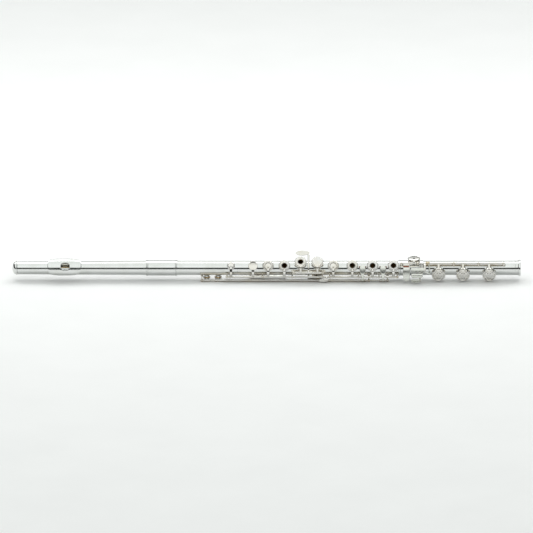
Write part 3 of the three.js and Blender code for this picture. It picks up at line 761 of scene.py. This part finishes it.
def draw_body_tube():
    bm = bmesh.new()
    start, end = span("upper_body_tube")[0], span("lower_body_tube")[1]
    wall = [(BORE, start), (OUTER, start), (OUTER, end), (BORE, end)]
    lathe(bm, wall, along_rod(), TUBE_SIDES, closed=True)
    bm = drilled(bm, BODY_HOLES)
    lengths = ["upper_body_tube", "lower_body_tube"]
    made = piece("drawn_body_tube", bm, SILVER, lengths[0], stands_for=lengths, turned=True)
    paint_bore_shade(made.data, BODY_HOLES)


def draw_foot_tube():
    bm = bmesh.new()
    start, end = span("foot_tube")
    socket_end = start + 34.3
    tenon_end = start + 12.6
    ring = end - 3.1
    inner = OUTER + 0.3
    outline = [(inner, start)] + bead(start + 1.3, SOCKET, RING, 1.2)
    outline += bead(start + 3, SOCKET, SOCKET + 0.2, 0.35)
    outline += [(SOCKET, socket_end - 0.3), (SOCKET - 0.2, socket_end), (OUTER, socket_end + 0.1)]
    outline += bead(ring - 4.2, OUTER, OUTER + 0.22, 0.3)
    flare = [pi / 2 * i / 8 for i in range(9)]
    outline += [(RING - (RING - OUTER) * cos(t), ring - 3.4 + 4 * sin(t)) for t in flare]
    outline += [(RING + 0.05, end - 1), (RING - 0.15, end - 0.25), (RING - 0.5, end)]
    outline += [(BORE + 0.15, end), (BORE, end - 0.2), (BORE, tenon_end), (inner, tenon_end)]
    lathe(bm, outline, along_rod(), TUBE_SIDES, closed=True)
    bm = drilled(bm, FOOT_HOLES)
    made = piece("drawn_foot_tube", bm, SILVER, "foot_tube", turned=True)
    paint_bore_shade(made.data, FOOT_HOLES)


# ---- ribs, posts and rods ----

MAIN_POSTS = (299, 348.4, 389.8, 442, 482, 510.6, 536)
TRILL_POSTS = (264, 496.5, 522.5)
G_POSTS = (392.4, 432.4)
THUMB_POSTS = (331.6, 379)
FOOT_POSTS = (542.3, 564.6, 615, 649.5, 684.5)


def draw_post(bm, x, rod, base=10.9, flat=1.52):
    """A ball post: a foot, a waisted shaft and a ball with its two sides cut flat."""
    angle, radius = rod
    half = 1.3
    ball = hypot(half, flat)
    neck = radius - ball * 0.8
    shaft = [(0, base - 0.2), (1.9, base - 0.2), (1.9, base + 0.3), (1.25, base + 0.7), (0.9, base + 1.3)]
    shaft += [(0.8, (base + neck) / 2 + 0.4), (1, neck - 0.2), (1.35, neck + 0.1), (0, neck + 0.3)]
    lathe(bm, rounded(shaft, 0.3), over_tube(x, angle), 28)
    steps = 12
    arc = [half * (2 * i / steps - 1) for i in range(steps + 1)]
    outline = [(sqrt(ball * ball - d * d), x + d) for d in arc]
    outline = [(0, x - half)] + outline + [(0, x + half)]
    lathe(bm, outline, along_rod(*rod), HINGE_SIDES)


def draw_ribs():
    low, high = OUTER + 0.25, 0.85
    bm = bmesh.new()
    strap(bm, 261.5, 537.6, 59.5, 74.5, low, high)
    for x in MAIN_POSTS:
        draw_post(bm, x, MAIN_ROD)
    for x in TRILL_POSTS:
        strap(bm, x - 1.9, x + 1.9, 70, 101, low, high)
        draw_post(bm, x, TRILL_ROD)
    piece("main_rib_and_posts", bm, RIB_SILVER, "main_rib")

    bm = bmesh.new()
    strap(bm, 388.4, 436, 32.5, 49.5, low, high)
    for x in G_POSTS:
        draw_post(bm, x, G_ROD)
    piece("offset_g_rib_and_posts", bm, RIB_SILVER, "offset_g_rib")

    bm = bmesh.new()
    for x0, x1 in ((328.5, 335), (350.4, 382)):
        strap(bm, x0, x1, 130, 158, low, high)
    strap(bm, 334, 351, 130, 147, low, high)
    for x in THUMB_POSTS:
        draw_post(bm, x, THUMB_ROD)
    piece("thumb_rib_and_posts", bm, RIB_SILVER, "thumb_rib")

    bm = bmesh.new()
    strap(bm, 540.7, 573.4, -5.5, 9.5, SOCKET + 0.25, 0.8)
    strap(bm, 572.6, 687, -16.5, 2, low, high + 0.2)
    for x in FOOT_POSTS:
        draw_post(bm, x, FOOT_ROD, 11.3, 2.15 if x == FOOT_POSTS[2] else 1.95)
    piece("foot_rib_and_posts", bm, RIB_SILVER, "foot_rib")


def draw_rod(bm, x0, x1, rod, radius, sides=24):
    outline = rounded([(0, x0), (radius, x0), (radius, x1), (0, x1)], 0.15)
    lathe(bm, outline, along_rod(*rod), sides)


def slotted_rod(bm, node, rod):
    """A rod as long as its node, with a slotted head at each end."""
    x0, x1 = span(node)
    draw_rod(bm, x0 + 0.2, x1 - 0.2, rod, STEEL)
    slotted_head(bm, x0 + 0.35, rod, 1.15, -1)
    slotted_head(bm, x1 - 0.35, rod, 1.15, 1)


def draw_steel(node, rod, turn=None):
    bm = bmesh.new()
    slotted_rod(bm, node, rod)
    piece(node + "_pin", bm, ROD_STEEL, node, turn)


def draw_steels():
    draw_steel("left_main_steel", MAIN_ROD)
    draw_steel("right_main_steel", MAIN_ROD)
    draw_steel("e_flat_steel", FOOT_ROD)
    draw_steel("g_steel", G_ROD, opened(G_ROD, MAIN_OPEN))
    draw_steel("thumb_steel", THUMB_ROD, opened(THUMB_ROD, THUMB_OPEN))


# ---- key parts ----


def hinge_tube(bm, x0, x1, rod, outer=HINGE, inner=1.2):
    """A hinge tube with a fine collar at each end."""
    collar = outer + 0.1
    outline = [(inner, x0), (collar, x0), (collar, x0 + 1), (outer, x0 + 1.15)]
    outline += [(outer, x1 - 1.15), (collar, x1 - 1), (collar, x1), (inner, x1)]
    lathe(bm, rounded(outline, 0.12, 2, closed=True), along_rod(*rod), HINGE_SIDES, closed=True)


def turned_cup(bm, cup, ceiling, outside, radius, hole_foot=None):
    """A cup with a thin skirt; outside is its outline from the skirt's foot to its middle or finger hole."""
    x, angle, r = cup
    inside = [hole_foot or (0, ceiling), (r - 0.5, ceiling), (r - 0.5, SKIRT), (r, SKIRT)]
    closed = hole_foot is not None
    lathe(bm, rounded(inside + outside, radius, closed=closed), over_tube(x, angle), CUP_SIDES, closed)


def groove(r):
    """A cup's stepped edge and the groove inside it."""
    return [(r, 14.35), (r - 0.55, 14.95), (r - 1.15, 15.12), (r - 1.35, 14.98), (r - 1.6, 14.98)]


def closed_cup(bm, cup):
    """A cup with a stepped edge, a fine groove and a gently domed top."""
    r = cup[2]
    top = [(r - 1.85, 15.2), (r * 0.5, 15.4), (0, DOME)]
    turned_cup(bm, cup, CEILING, groove(r) + top, 0.2)


def dished_cup(bm, cup):
    """A cup with a raised ring round a sunk middle."""
    r = cup[2]
    well = r * 0.56
    top = [(r - 1.85, 15.22), (well + 0.5, 15.45), (well, 15.3), (well - 0.15, 14.62)]
    top += [(well - 0.9, 14.5), (well * 0.4, 14.62), (0, 14.66)]
    turned_cup(bm, cup, LOW_CEILING, groove(r) + top, 0.16)


def foot_cup(bm, cup):
    """A cup with two rings stepped up to a domed middle."""
    r = cup[2]
    rings = [(r, 14.3), (r - 0.5, 14.75), (r - 1.3, 14.85), (r - 1.8, 14.3), (r - 2.3, 14.3)]
    rings += [(r - 2.8, 14.95), (r - 4.2, 15.15), (r - 4.7, 14.75), (r - 5.2, 14.75), (r - 5.8, 15.3)]
    turned_cup(bm, cup, LOW_CEILING, rings + [(r * 0.2, DOME), (0, DOME)], 0.14)


def open_cup(bm, cup):
    """A ring cup: a broad bright edge, a groove, and a raised bush round the finger hole."""
    r, hole = cup[2], FINGER_HOLE
    edge = [(r, 14.35), (r - 0.5, 14.98), (r - 1.1, 15.15), (r - 1.3, 15), (r - 1.5, 15), (r - 1.75, 15.22)]
    bush = [(hole + 1.25, 15.38), (hole + 1.1, 15.26), (hole + 0.85, 15.26)]
    bush += [(hole + 0.6, 15.6), (hole + 0.2, 15.6), (hole, 15.4)]
    turned_cup(bm, cup, CEILING, edge + bush, 0.16, (hole, CEILING - 0.2))


def dish(bm, x, angle, r):
    """A finger rest: a shallow dish with a rolled edge."""
    outline = [(0, CEILING), (r - 0.8, CEILING), (r - 0.3, 14.5), (r, 14.9), (r - 0.25, 15.3)]
    outline += [(r - 0.8, 15.35), (r * 0.6, 15.05), (r * 0.25, 14.95), (0, 14.93)]
    lathe(bm, rounded(outline, 0.2), over_tube(x, angle), CUP_SIDES)


def cup_arm(bm, cup, rod, end, width=3.0, tip=0.5):
    """A pointed arm with a ridge, from the hinge tube over the cup's edge towards its middle."""
    x, angle, r = cup
    start = spot(0, rod[0] - angle, rod[1])
    across, up = -start.y, start.z
    side = copysign(1, across)
    stations = [
        (across, up, width + 0.9, 2.2),
        (side * max(r + 2.6, abs(across) - 3.4), max(up, 13.3), width + 0.2, 1.5),
        (side * (r + 0.1), TOP + 0.1, width * 1.35, 1.25),
        (side * (r + end) / 2, DOME + 0.08, width * 0.8, 0.8),
        (side * end, DOME + 0.12, tip, 0.45),
    ]
    ribbon(bm, rolled(x, angle, stations), ridge=0.22)


def pad(name, turn=None, is_open=False):
    """A felt pad in its skin, bulged at the edge and pressed in a ring where it meets its tone hole."""
    x, angle, cup = cup_at(name)
    outer = cup - 0.65
    seat = cup - HOLE_INSET - 0.15
    bottom = 12.3
    bm = bmesh.new()
    outline = [(outer - 0.5, 14.15), (outer, 13.7), (outer - 0.02, 12.75), (outer - 0.35, bottom + 0.02)]
    outline += [(seat + 0.3, bottom - 0.02), (seat, bottom + 0.16), (seat - 0.35, bottom - 0.02)]
    if is_open:
        inner = FINGER_HOLE + 0.35
        outline += [(inner + 0.4, bottom - 0.02), (inner, bottom + 0.35), (inner, 13.9)]
        lathe(bm, rounded(outline, 0.3, closed=True), over_tube(x, angle), HOLE_SIDES, closed=True)
    else:
        outline = [(0, 14.15)] + outline + [(1.8, bottom), (1.5, bottom - 0.18), (0, bottom - 0.2)]
        lathe(bm, rounded(outline, 0.3), over_tube(x, angle), HOLE_SIDES)
    made = piece(name + "_pad_skin", bm, PAD_SKIN, name + "_pad", turn)


def key_piece(node, bm, turn=None):
    piece(node + "_work", bm, KEY_SILVER, node, turn)


def spring(bm, x, rod, length, side):
    """A needle spring from a post along its rod, under the hinge tube."""
    angle, radius = rod
    bends = [(0, 6, 1.7), (0.5, 8, 2.1), (1, 12, 2.3)]
    places = [spot(x + length * share, angle + side * a, radius - drop) for share, a, drop in bends]
    ribbon(bm, [(*place, SPRING_WIRE, SPRING_WIRE) for place in places], steps=4)


# ---- left hand ----


def y_arm(bm, cup):
    """Two prongs that spread from the arm, on the player's side, round the middle of a G cup."""
    x, angle, r = cup
    matrix = roll(angle)
    stations = [(r + 0.4, 0, 1.9, 1.1), (r - 1.4, 1.6, 1.5, 0.9)]
    stations += [(r * 0.55, 4.1, 1.2, 0.7), (r * 0.2, 5.2, 0.7, 0.5)]
    for way in (-1, 1):
        line = [(*(matrix @ Vector((x + way * b, -a, DOME + 0.05))), w, t) for a, b, w, t in stations]
        ribbon(bm, line, across=(1, 0.35 * way, 0))


def draw_c_key():
    bm = bmesh.new()
    cup = cup_at("c_sharp")
    touch = (335.2, 0, 6.7)  # the first finger's rest
    turn = opened(MAIN_ROD, MAIN_OPEN)
    hinge_tube(bm, 301, 346.4, MAIN_ROD)
    closed_cup(bm, cup)
    cup_arm(bm, cup, MAIN_ROD, 0)
    dish(bm, *touch)
    cup_arm(bm, touch, MAIN_ROD, 4.6, tip=1.6)
    key_piece("c_key", bm, turn)
    pad("c_sharp", turn)


def draw_cup_key(name, rod, x0, x1, is_open):
    """A key of the main rod or the G rod, with a finger hole or a closed top."""
    bm = bmesh.new()
    cup = cup_at(name)
    hinge_tube(bm, x0, x1, rod)
    if rod == G_ROD:
        (open_cup if is_open else closed_cup)(bm, cup)
        cup_arm(bm, cup, rod, FINGER_HOLE + 1.5, tip=1.6)
        y_arm(bm, cup)
    elif is_open:
        open_cup(bm, cup)
        cup_arm(bm, cup, rod, FINGER_HOLE + 1.1, tip=1.4)
    else:
        dished_cup(bm, cup)
        cup_arm(bm, cup, rod, 1.6, tip=0.6)
    turn = opened(rod, MAIN_OPEN)
    key_piece(name + "_key", bm, turn)
    pad(name, turn, is_open)


def draw_left_hand():
    draw_c_key()
    draw_cup_key("b_flat", MAIN_ROD, 350.4, 366, False)
    draw_cup_key("a", MAIN_ROD, 366.5, 387.8, True)
    draw_cup_key("g", G_ROD, 394.4, 408.8, True)
    draw_cup_key("lower_g", G_ROD, 416.8, 430.4, False)


def draw_g_sharp():
    """A see-saw: a long leaf on the far side, and a cup behind the tube."""
    bm = bmesh.new()
    cup = cup_at("g_sharp")
    hinge_tube(bm, 409.3, 416.3, G_ROD)
    over = [(41, 16), (24, 16.7), (0, 16.5), (-20, 16.9), (-38, 18.6), (-47, 20.8)]
    ribbon(bm, [(*spot(412.5, a, r), 2.6, 1.3) for a, r in over], ridge=0.15)
    stem, tip = spot(0, -44, 19.6), spot(0, -60, 25.4)
    middle_line = (stem + tip) / 2
    stations = [(413.7, 2.8), (412, 4.6), (408.5, 6.6), (403.5, 7.6), (398.8, 6.4), (396, 4), (394.8, 1.8)]
    leaf = [(x, middle_line.y, middle_line.z, w, 0.9) for x, w in stations]
    ribbon(bm, leaf, across=tip - stem, ridge=0.1)
    under = [(41, 16), (54, 13.4), (67, 12.25), (82, 12.4), (94, 12.9), (103, 14), (110, 15.6)]
    ribbon(bm, [(*spot(412.5, a, r), 2.5, 1.1) for a, r in under])
    bend = [(97, 13.3), (104, 14.2), (111, 15.5)]
    ribbon(bm, [(*spot(417.6, a, r), 12.6, 1.1) for a, r in bend])
    closed_cup(bm, cup)
    key_piece("g_sharp_key", bm)
    pad("g_sharp")


def draw_thumb_keys():
    turn = opened(THUMB_ROD, THUMB_OPEN)
    cup = cup_at("b_thumb")
    x, angle = cup[:2]
    bm = bmesh.new()
    hinge_tube(bm, 333.6, 350.6, THUMB_ROD)
    closed_cup(bm, cup)
    start = spot(0, THUMB_ROD[0] - angle, THUMB_ROD[1])
    stations = [(-start.y, start.z, 4.6, 1.9), (-start.y + 1.2, TOP - 0.1, 3.8, 1.4)]
    stations += [(-6, DOME, 3.4, 1), (0, DOME + 0.1, 0.8, 0.5)]
    ribbon(bm, rolled(x, angle, stations), ridge=0.15)
    key_piece("b_thumb_key", bm, turn)
    pad("b_thumb", turn)

    plate = [(150, THUMB_ROD[1]), (158, 17.9), (172, 18.2), (184, 18.15), (196, 18)]
    for node, hinge, centre, widths in (
        ("b_thumb_touch", (366, 377.2), 371.2, (6, 7.5, 10.4, 10.4, 7.6)),
        ("b_flat_thumb_lever", (351, 365.6), 359.3, (6, 8, 11.4, 11, 7)),
    ):
        bm = bmesh.new()
        hinge_tube(bm, *hinge, THUMB_ROD)
        ribbon(bm, [(*spot(centre, a, r), w, 1.25) for (a, r), w in zip(plate, widths)])
        piece(node + "_plate", bm, TOUCH_SILVER, node, turn)


# ---- right hand ----


def draw_side_lever():
    bm = bmesh.new()
    hinge_tube(bm, 393.4, 439.8, MAIN_ROD)
    centre = spot(0, *MAIN_ROD)
    neck = [(-centre.y, centre.z, 3.2, 2), (17.2, 7.7, 3, 1.4), (19.4, 6, 3, 1.3)]
    ribbon(bm, at_x(438, neck), ridge=0.1)
    direction = point(0, 21.4, 4) - point(0, 18, 7.4)
    stations = [(439.5, 3.2), (437, 4.8), (433, 5), (429.5, 4.2), (427.1, 2.4)]
    leaf = [(*point(x, 19.7, 5.7), w, 1.3) for x, w in stations]
    ribbon(bm, leaf, across=direction, ridge=0.12)
    piece("b_flat_side_lever_arm", bm, KEY_SILVER, "b_flat_side_lever")


def draw_right_hand():
    draw_side_lever()
    draw_cup_key("f_sharp", MAIN_ROD, 444.2, 457, False)
    draw_cup_key("f", MAIN_ROD, 457.5, 479.8, True)
    draw_cup_key("e", MAIN_ROD, 484.2, 508.4, True)
    draw_cup_key("d", MAIN_ROD, 512.8, 533.8, True)


def touch_piece(name, node, bm, turn=None):
    piece(name, bm, TOUCH_SILVER, node, turn=turn, stands_for=())


def trill_touch(node, x):
    """A trill key's lever and touch, with the felt under the touch that keeps it off the tube."""
    bm = bmesh.new()
    centre = spot(0, *TRILL_ROD)
    lever = [(-centre.y, centre.z, 3.4, 2), (19.8, 4.5, 3, 1.3), (18.5, 10.3, 3, 1.3)]
    touch = [(13.4, 14.2, 4.2, 1.4), (10, 15.6, 7.6, 1.5), (6, 16.7, 8.4, 1.5)]
    touch += [(2.6, 17.2, 7, 1.4), (1.6, 17.2, 4, 1.2)]
    ribbon(bm, at_x(x, lever + touch), ridge=0.1)
    touch_piece(node + "_touch", node, bm)
    bm = bmesh.new()
    strap(bm, x - 5.2, x + 5.2, 3, 14, OUTER + 0.1, 1.5)
    piece(node + "_stop_felt", bm, RUST_FELT, "upper_body_tube", stands_for=())


def draw_trill_keys():
    """The D sharp trill key is pinned to its rod; the D trill key turns on it with a long hinge tube."""
    for name, touch in (("d_sharp_trill", 516.3), ("d_trill", 487.9)):
        bm = bmesh.new()
        cup = cup_at(name)
        if name == "d_trill":
            hinge_tube(bm, 282, 492.6, TRILL_ROD)
        else:
            slotted_rod(bm, name + "_key", TRILL_ROD)
            for x in (cup[0], touch - 1):
                draw_rod(bm, x - 4, x + 4, TRILL_ROD, HINGE, HINGE_SIDES)
        closed_cup(bm, cup)
        cup_arm(bm, cup, TRILL_ROD, 0)
        key_piece(name + "_key", bm)
        trill_touch(name + "_key", touch)
        pad(name)


# ---- foot ----


def foot_centre():
    centre = spot(0, *FOOT_ROD)
    return -centre.y, centre.z


def draw_e_flat():
    bm = bmesh.new()
    cup = cup_at("e_flat")
    stem = [(*foot_centre(), 9.4, 2), (1.2, 17, 9.6, 1.4)]
    leaf = stem[1:] + [(8.8, 16.3, 9.8, 1.3), (16.1, 12.7, 9.8, 1.3), (19, 10.5, 8.6, 1.3)]
    leaf += [(20.6, 9, 6.4, 1.2), (21.4, 8.2, 3, 1.1)]
    ribbon(bm, at_x(549, leaf))
    touch_piece("e_flat_leaf", "e_flat_key", bm)
    bm = bmesh.new()
    ribbon(bm, at_x(548.6, [(1.9, 17.95, 7.8, 0.7), (4.2, 17.8, 7.8, 0.7)]), steps=3)
    piece("e_flat_felt", bm, RUST_FELT, "e_flat_key", stands_for=())
    bm = bmesh.new()
    hinge_tube(bm, 544.1, 562.8, FOOT_ROD)
    ribbon(bm, at_x(549, stem))
    closed_cup(bm, cup)
    cup_arm(bm, cup, FOOT_ROD, 0)
    key_piece("e_flat_key", bm)
    pad("e_flat")


def roller_axis(centre):
    return Matrix.Translation(point(0, *centre)) @ along_rod()


def roller_carrier(bm, edge, centre, x0, x1):
    """The two cheeks that hold a roller, and its pin."""
    for x in (x0 + 0.6, x1 - 0.6):
        ribbon(bm, at_x(x, [(*edge, 1.1, 1.5), (*centre, 1.1, 1.5)]), steps=3)
    pin = [(0, x0 + 0.4), (0.4, x0 + 0.4), (0.4, x1 - 0.4), (0, x1 - 0.4)]
    lathe(bm, pin, roller_axis(centre), 16)


def draw_roller(node, centre, x0, x1, turn):
    """A waisted roller with rounded ends."""
    bm = bmesh.new()
    low, high = x0 + 1.5, x1 - 1.5
    outline = [(0.7, low), (1.15, low), (1.3, low + 0.4), (1.22, (low + high) / 2)]
    outline = rounded(outline + [(1.3, high - 0.4), (1.15, high), (0.7, high)], 0.2, closed=True)
    lathe(bm, outline, roller_axis(centre), HINGE_SIDES, closed=True)
    piece(node + "_barrel", bm, TOUCH_SILVER, node, turn=turn)


def plate(bm, x0, x1, edge, far, narrow=0.8):
    """A finger plate between two lines along the flute, with rounded ends."""
    a, b = point(0, *edge), point(0, *far)
    width = (b - a).length
    centre = (a + b) / 2
    places = (x0, x0 + 1.5, (x0 + x1) / 2, x1 - 1.5, x1)
    widths = (width * narrow, width, width, width, width * narrow)
    line = [(x, centre.y, centre.z, w, 1.25) for x, w in zip(places, widths)]
    ribbon(bm, line, across=b - a)


def finish_low_key(name, bm, turn):
    """Adds the cup and its arm to what was drawn of a low key, and makes it a piece."""
    cup = cup_at(name)
    foot_cup(bm, cup)
    cup_arm(bm, cup, FOOT_ROD, 0, 3.4)
    key_piece(name + "_key", bm, turn)


def draw_low_keys():
    turn = opened(FOOT_ROD, FOOT_OPEN)
    across, up = foot_centre()

    bm = bmesh.new()
    hinge_tube(bm, 573, 612.9, FOOT_ROD, 2, 1.6)
    lead = [(across, up, 3, 2), (1.4, 17.8, 2.8, 1.4), (6.1, 17.7, 2.8, 1.3), (11.4, 15.8, 2.8, 1.3)]
    ribbon(bm, at_x(574.6, lead))
    finish_low_key("low_c_sharp", bm, turn)
    bm = bmesh.new()
    plate(bm, 555, 576, (6.1, 17.7), (11.4, 15.8))
    lever = [(574.5, 10.8, 15.9), (578, 12.4, 15), (580.6, 12.4, 14.9), (580.8, 8.5, 16.6)]
    lever.append((580, across + 1, up + 1))
    bend = smooth([point(*place) for place in lever], 6)
    ribbon(bm, [(*place, 1.7, 1.7) for place in bend], across=(0, 0, 1), steps=4)
    touch_piece("low_c_sharp_touch", "low_c_sharp_key", bm, turn)
    bm = bmesh.new()
    bands = [(1.9, 575.6)]
    for x in (575.6, 577.6, 579.6):
        bands += [(2.5, x), (2.7, x + 0.3), (2.7, x + 1.3), (2.5, x + 1.6), (2.1, x + 1.7), (2.1, x + 1.9)]
    bands[-2:] = [(1.9, 581.2)]
    lathe(bm, rounded(bands, 0.1, closed=True), along_rod(*FOOT_ROD), HINGE_SIDES, closed=True)
    piece("low_c_sharp_collar", bm, BRASS_TONE, "low_c_sharp_key", turn=turn, stands_for=())
    pad("low_c_sharp", turn)

    bm = bmesh.new()
    hinge_tube(bm, 569.3, 573, FOOT_ROD, 1.35, 0.95)
    draw_rod(bm, 572, 618, FOOT_ROD, 1.35)
    hinge_tube(bm, 617.2, 647.6, FOOT_ROD, 2, 0.95)
    lead = [(4.1, 14.1), (8.8, 12.4), (12.2, 11.9), (13.7, 13.6)]
    ribbon(bm, at_x(570.6, [(across, up, 2.4, 1.8)] + [(*place, 2.4, 1.1) for place in lead]))
    roller, length = (17.1, 12.3), (555.6, 571.8)
    roller_carrier(bm, (15.7, 13.2), roller, *length)
    finish_low_key("low_c", bm, turn)
    bm = bmesh.new()
    plate(bm, *length, (12.9, 14.1), (15.9, 13.1))
    touch_piece("low_c_touch", "low_c_key", bm, turn)
    pad("low_c", turn)
    draw_roller("low_c_roller", roller, *length, turn)

    bm = bmesh.new()
    draw_rod(bm, 562.9, 686.2, FOOT_ROD, 0.7)
    draw_rod(bm, 566.4, 568.9, FOOT_ROD, 1.35)
    draw_rod(bm, 651.6, 682.4, FOOT_ROD, 2, 32)
    lead = [(4.1, 13.9, 1.1), (8.7, 11.9, 1.1), (12.2, 9.1, 1.1), (16.3, 6.3, 1.1), (20.4, 5.6, 1.2)]
    ribbon(bm, at_x(567.6, [(a, b, 2.4, t) for a, b, t in [(across, up, 1.8)] + lead]))
    roller, length = (19.8, 8.1), (555.6, 568.8)
    roller_carrier(bm, (20.3, 5.8), roller, *length)
    finish_low_key("low_b", bm, turn)
    bm = bmesh.new()
    plate(bm, *length, (19.8, 5.6), (22.6, 6), 0.4)
    touch_piece("low_b_touch", "low_b_key", bm, turn)
    pad("low_b", turn)
    draw_roller("low_b_roller", roller, *length, turn)


# ---- small pieces ----


def draw_springs():
    """Needle springs, each fixed in a post, on the joint that holds its post."""
    bm = bmesh.new()
    for x, length in ((301, 14), (350, 8), (391, -11), (443.6, 8), (483.6, 12), (512, 12)):
        spring(bm, x, MAIN_ROD, length, -1)
    for x, length in ((393.6, 9), (431, -9)):
        spring(bm, x, G_ROD, length, 1)
    for x, length in ((333, 9), (377.6, -8)):
        spring(bm, x, THUMB_ROD, length, -1)
    piece("body_needle_springs", bm, SPRING_BLUE, "upper_body_tube", stands_for=())
    bm = bmesh.new()
    for x, length in ((543.6, 9), (616.4, 12), (650.8, 10), (683, -10)):
        spring(bm, x, FOOT_ROD, length, -1)
    piece("foot_needle_springs", bm, SPRING_BLUE, "foot_tube", stands_for=())


# ---- stage, light and camera ----

IMAGE_SIZE = 533
CAMERA_ELEVATION = 19
CAMERA_DISTANCE = 1.6
FLUTE_IN_FRAME = 508.3 / IMAGE_SIZE
AIM_ABOVE_AXIS = 1.5 / IMAGE_SIZE


def add_floor():
    mesh = bpy.data.meshes.new("floor")
    half = 4
    corners = [(-half, -half, 0), (half, -half, 0), (half, half, 0), (-half, half, 0)]
    mesh.from_pydata(corners, [], [(0, 1, 2, 3)])
    floor = in_scene("floor", mesh)
    paint = Painter("pale_floor", (0.93, 0.93, 0.93), 0.9, 0)
    paint.colours(paint.noise(9), [(0.3, (0.92, 0.92, 0.92)), (0.7, (0.94, 0.94, 0.94))])
    paint.shader.inputs["Specular IOR Level"].default_value = 0.1
    mesh.materials.append(paint.material)


def add_light(name, place, size, power):
    """A rectangular light that faces the middle of the stage."""
    data = bpy.data.lights.new(name, "AREA")
    data.shape = "RECTANGLE"
    data.size, data.size_y = size
    data.energy = power
    light = in_scene(name, data)
    light.location = place
    light.rotation_euler = (Vector((0, 0, 0)) - Vector(place)).to_track_quat("-Z", "Y").to_euler()


def grey_ramp(tree, value, stops):
    """Greys with a slight green cast."""
    return colour_ramp(tree, value, [(p, (grey * 0.985, grey, grey * 0.99)) for p, grey in stops])


# how bright the surroundings are: by height, from -1 below to 1 overhead, and towards the flute's ends
BRIGHTNESS_BY_HEIGHT = [(-1, 0.9), (-0.03, 0.9), (0, 0.015), (0.3, 0.015), (0.335, 0.42), (0.4, 0.72)]
BRIGHTNESS_BY_HEIGHT += [(0.56, 1.25), (0.8, 1.2), (1, 1.12)]
BRIGHTNESS_TOWARDS_ENDS = [(0.0, 1), (0.55, 1), (0.78, 0.1), (1.0, 0.04)]


def add_sky():
    """A studio's surroundings: bright overhead, dark just over the horizon, and dark at the two ends."""
    world = bpy.data.worlds.new("studio")
    bpy.context.scene.world = world
    world.use_nodes = True
    tree = world.node_tree
    split = add_node(tree, "SeparateXYZ")
    tree.links.new(add_node(tree, "TexCoord").outputs["Generated"], split.inputs["Vector"])
    lift = add_node(tree, "Math")
    lift.operation = "MULTIPLY_ADD"
    lift.inputs[1].default_value = lift.inputs[2].default_value = 0.5
    tree.links.new(split.outputs["Z"], lift.inputs[0])
    side = add_node(tree, "Math")
    side.operation = "ABSOLUTE"
    tree.links.new(split.outputs["X"], side.inputs[0])
    mix = add_node(tree, "Mix")
    mix.data_type = "RGBA"
    mix.blend_type = "MULTIPLY"
    mix.inputs["Factor"].default_value = 1
    lifted = [((z + 1) / 2, grey) for z, grey in BRIGHTNESS_BY_HEIGHT]
    tree.links.new(grey_ramp(tree, lift.outputs[0], lifted), mix.inputs["A"])
    towards_ends = grey_ramp(tree, side.outputs[0], BRIGHTNESS_TOWARDS_ENDS)
    tree.links.new(towards_ends, mix.inputs["B"])
    tree.links.new(mix.outputs["Result"], tree.nodes["Background"].inputs["Color"])


def add_camera():
    low, high = cad_box
    tilt = radians(CAMERA_ELEVATION)
    data = bpy.data.cameras.new("camera")
    data.type = "ORTHO"
    data.ortho_scale = (high[0] - low[0]) / FLUTE_IN_FRAME
    above = AIM_ABOVE_AXIS * data.ortho_scale
    aim = Vector(((low[0] + high[0]) / 2, TO_WORLD.translation.y, TO_WORLD.translation.z))
    up = Vector((0, sin(tilt), cos(tilt)))
    back = Vector((0, -cos(tilt), sin(tilt)))
    camera = in_scene("camera", data)
    camera.location = aim + up * above + back * CAMERA_DISTANCE
    camera.rotation_euler = (-back).to_track_quat("-Z", "Y").to_euler()
    bpy.context.scene.camera = camera


add_camera()
add_floor()
add_sky()
add_light("back_softbox", (0, 0.6, 0.95), (2.6, 0.5), 7)
bpy.context.scene.view_settings.view_transform = "Standard"

draw_crown()
draw_stopper()
draw_head_tube()
draw_riser()
draw_lip_plate()
draw_barrel()
draw_body_tube()
draw_foot_tube()
draw_ribs()
draw_steels()
draw_left_hand()
draw_g_sharp()
draw_thumb_keys()
draw_right_hand()
draw_trill_keys()
draw_e_flat()
draw_low_keys()
draw_springs()
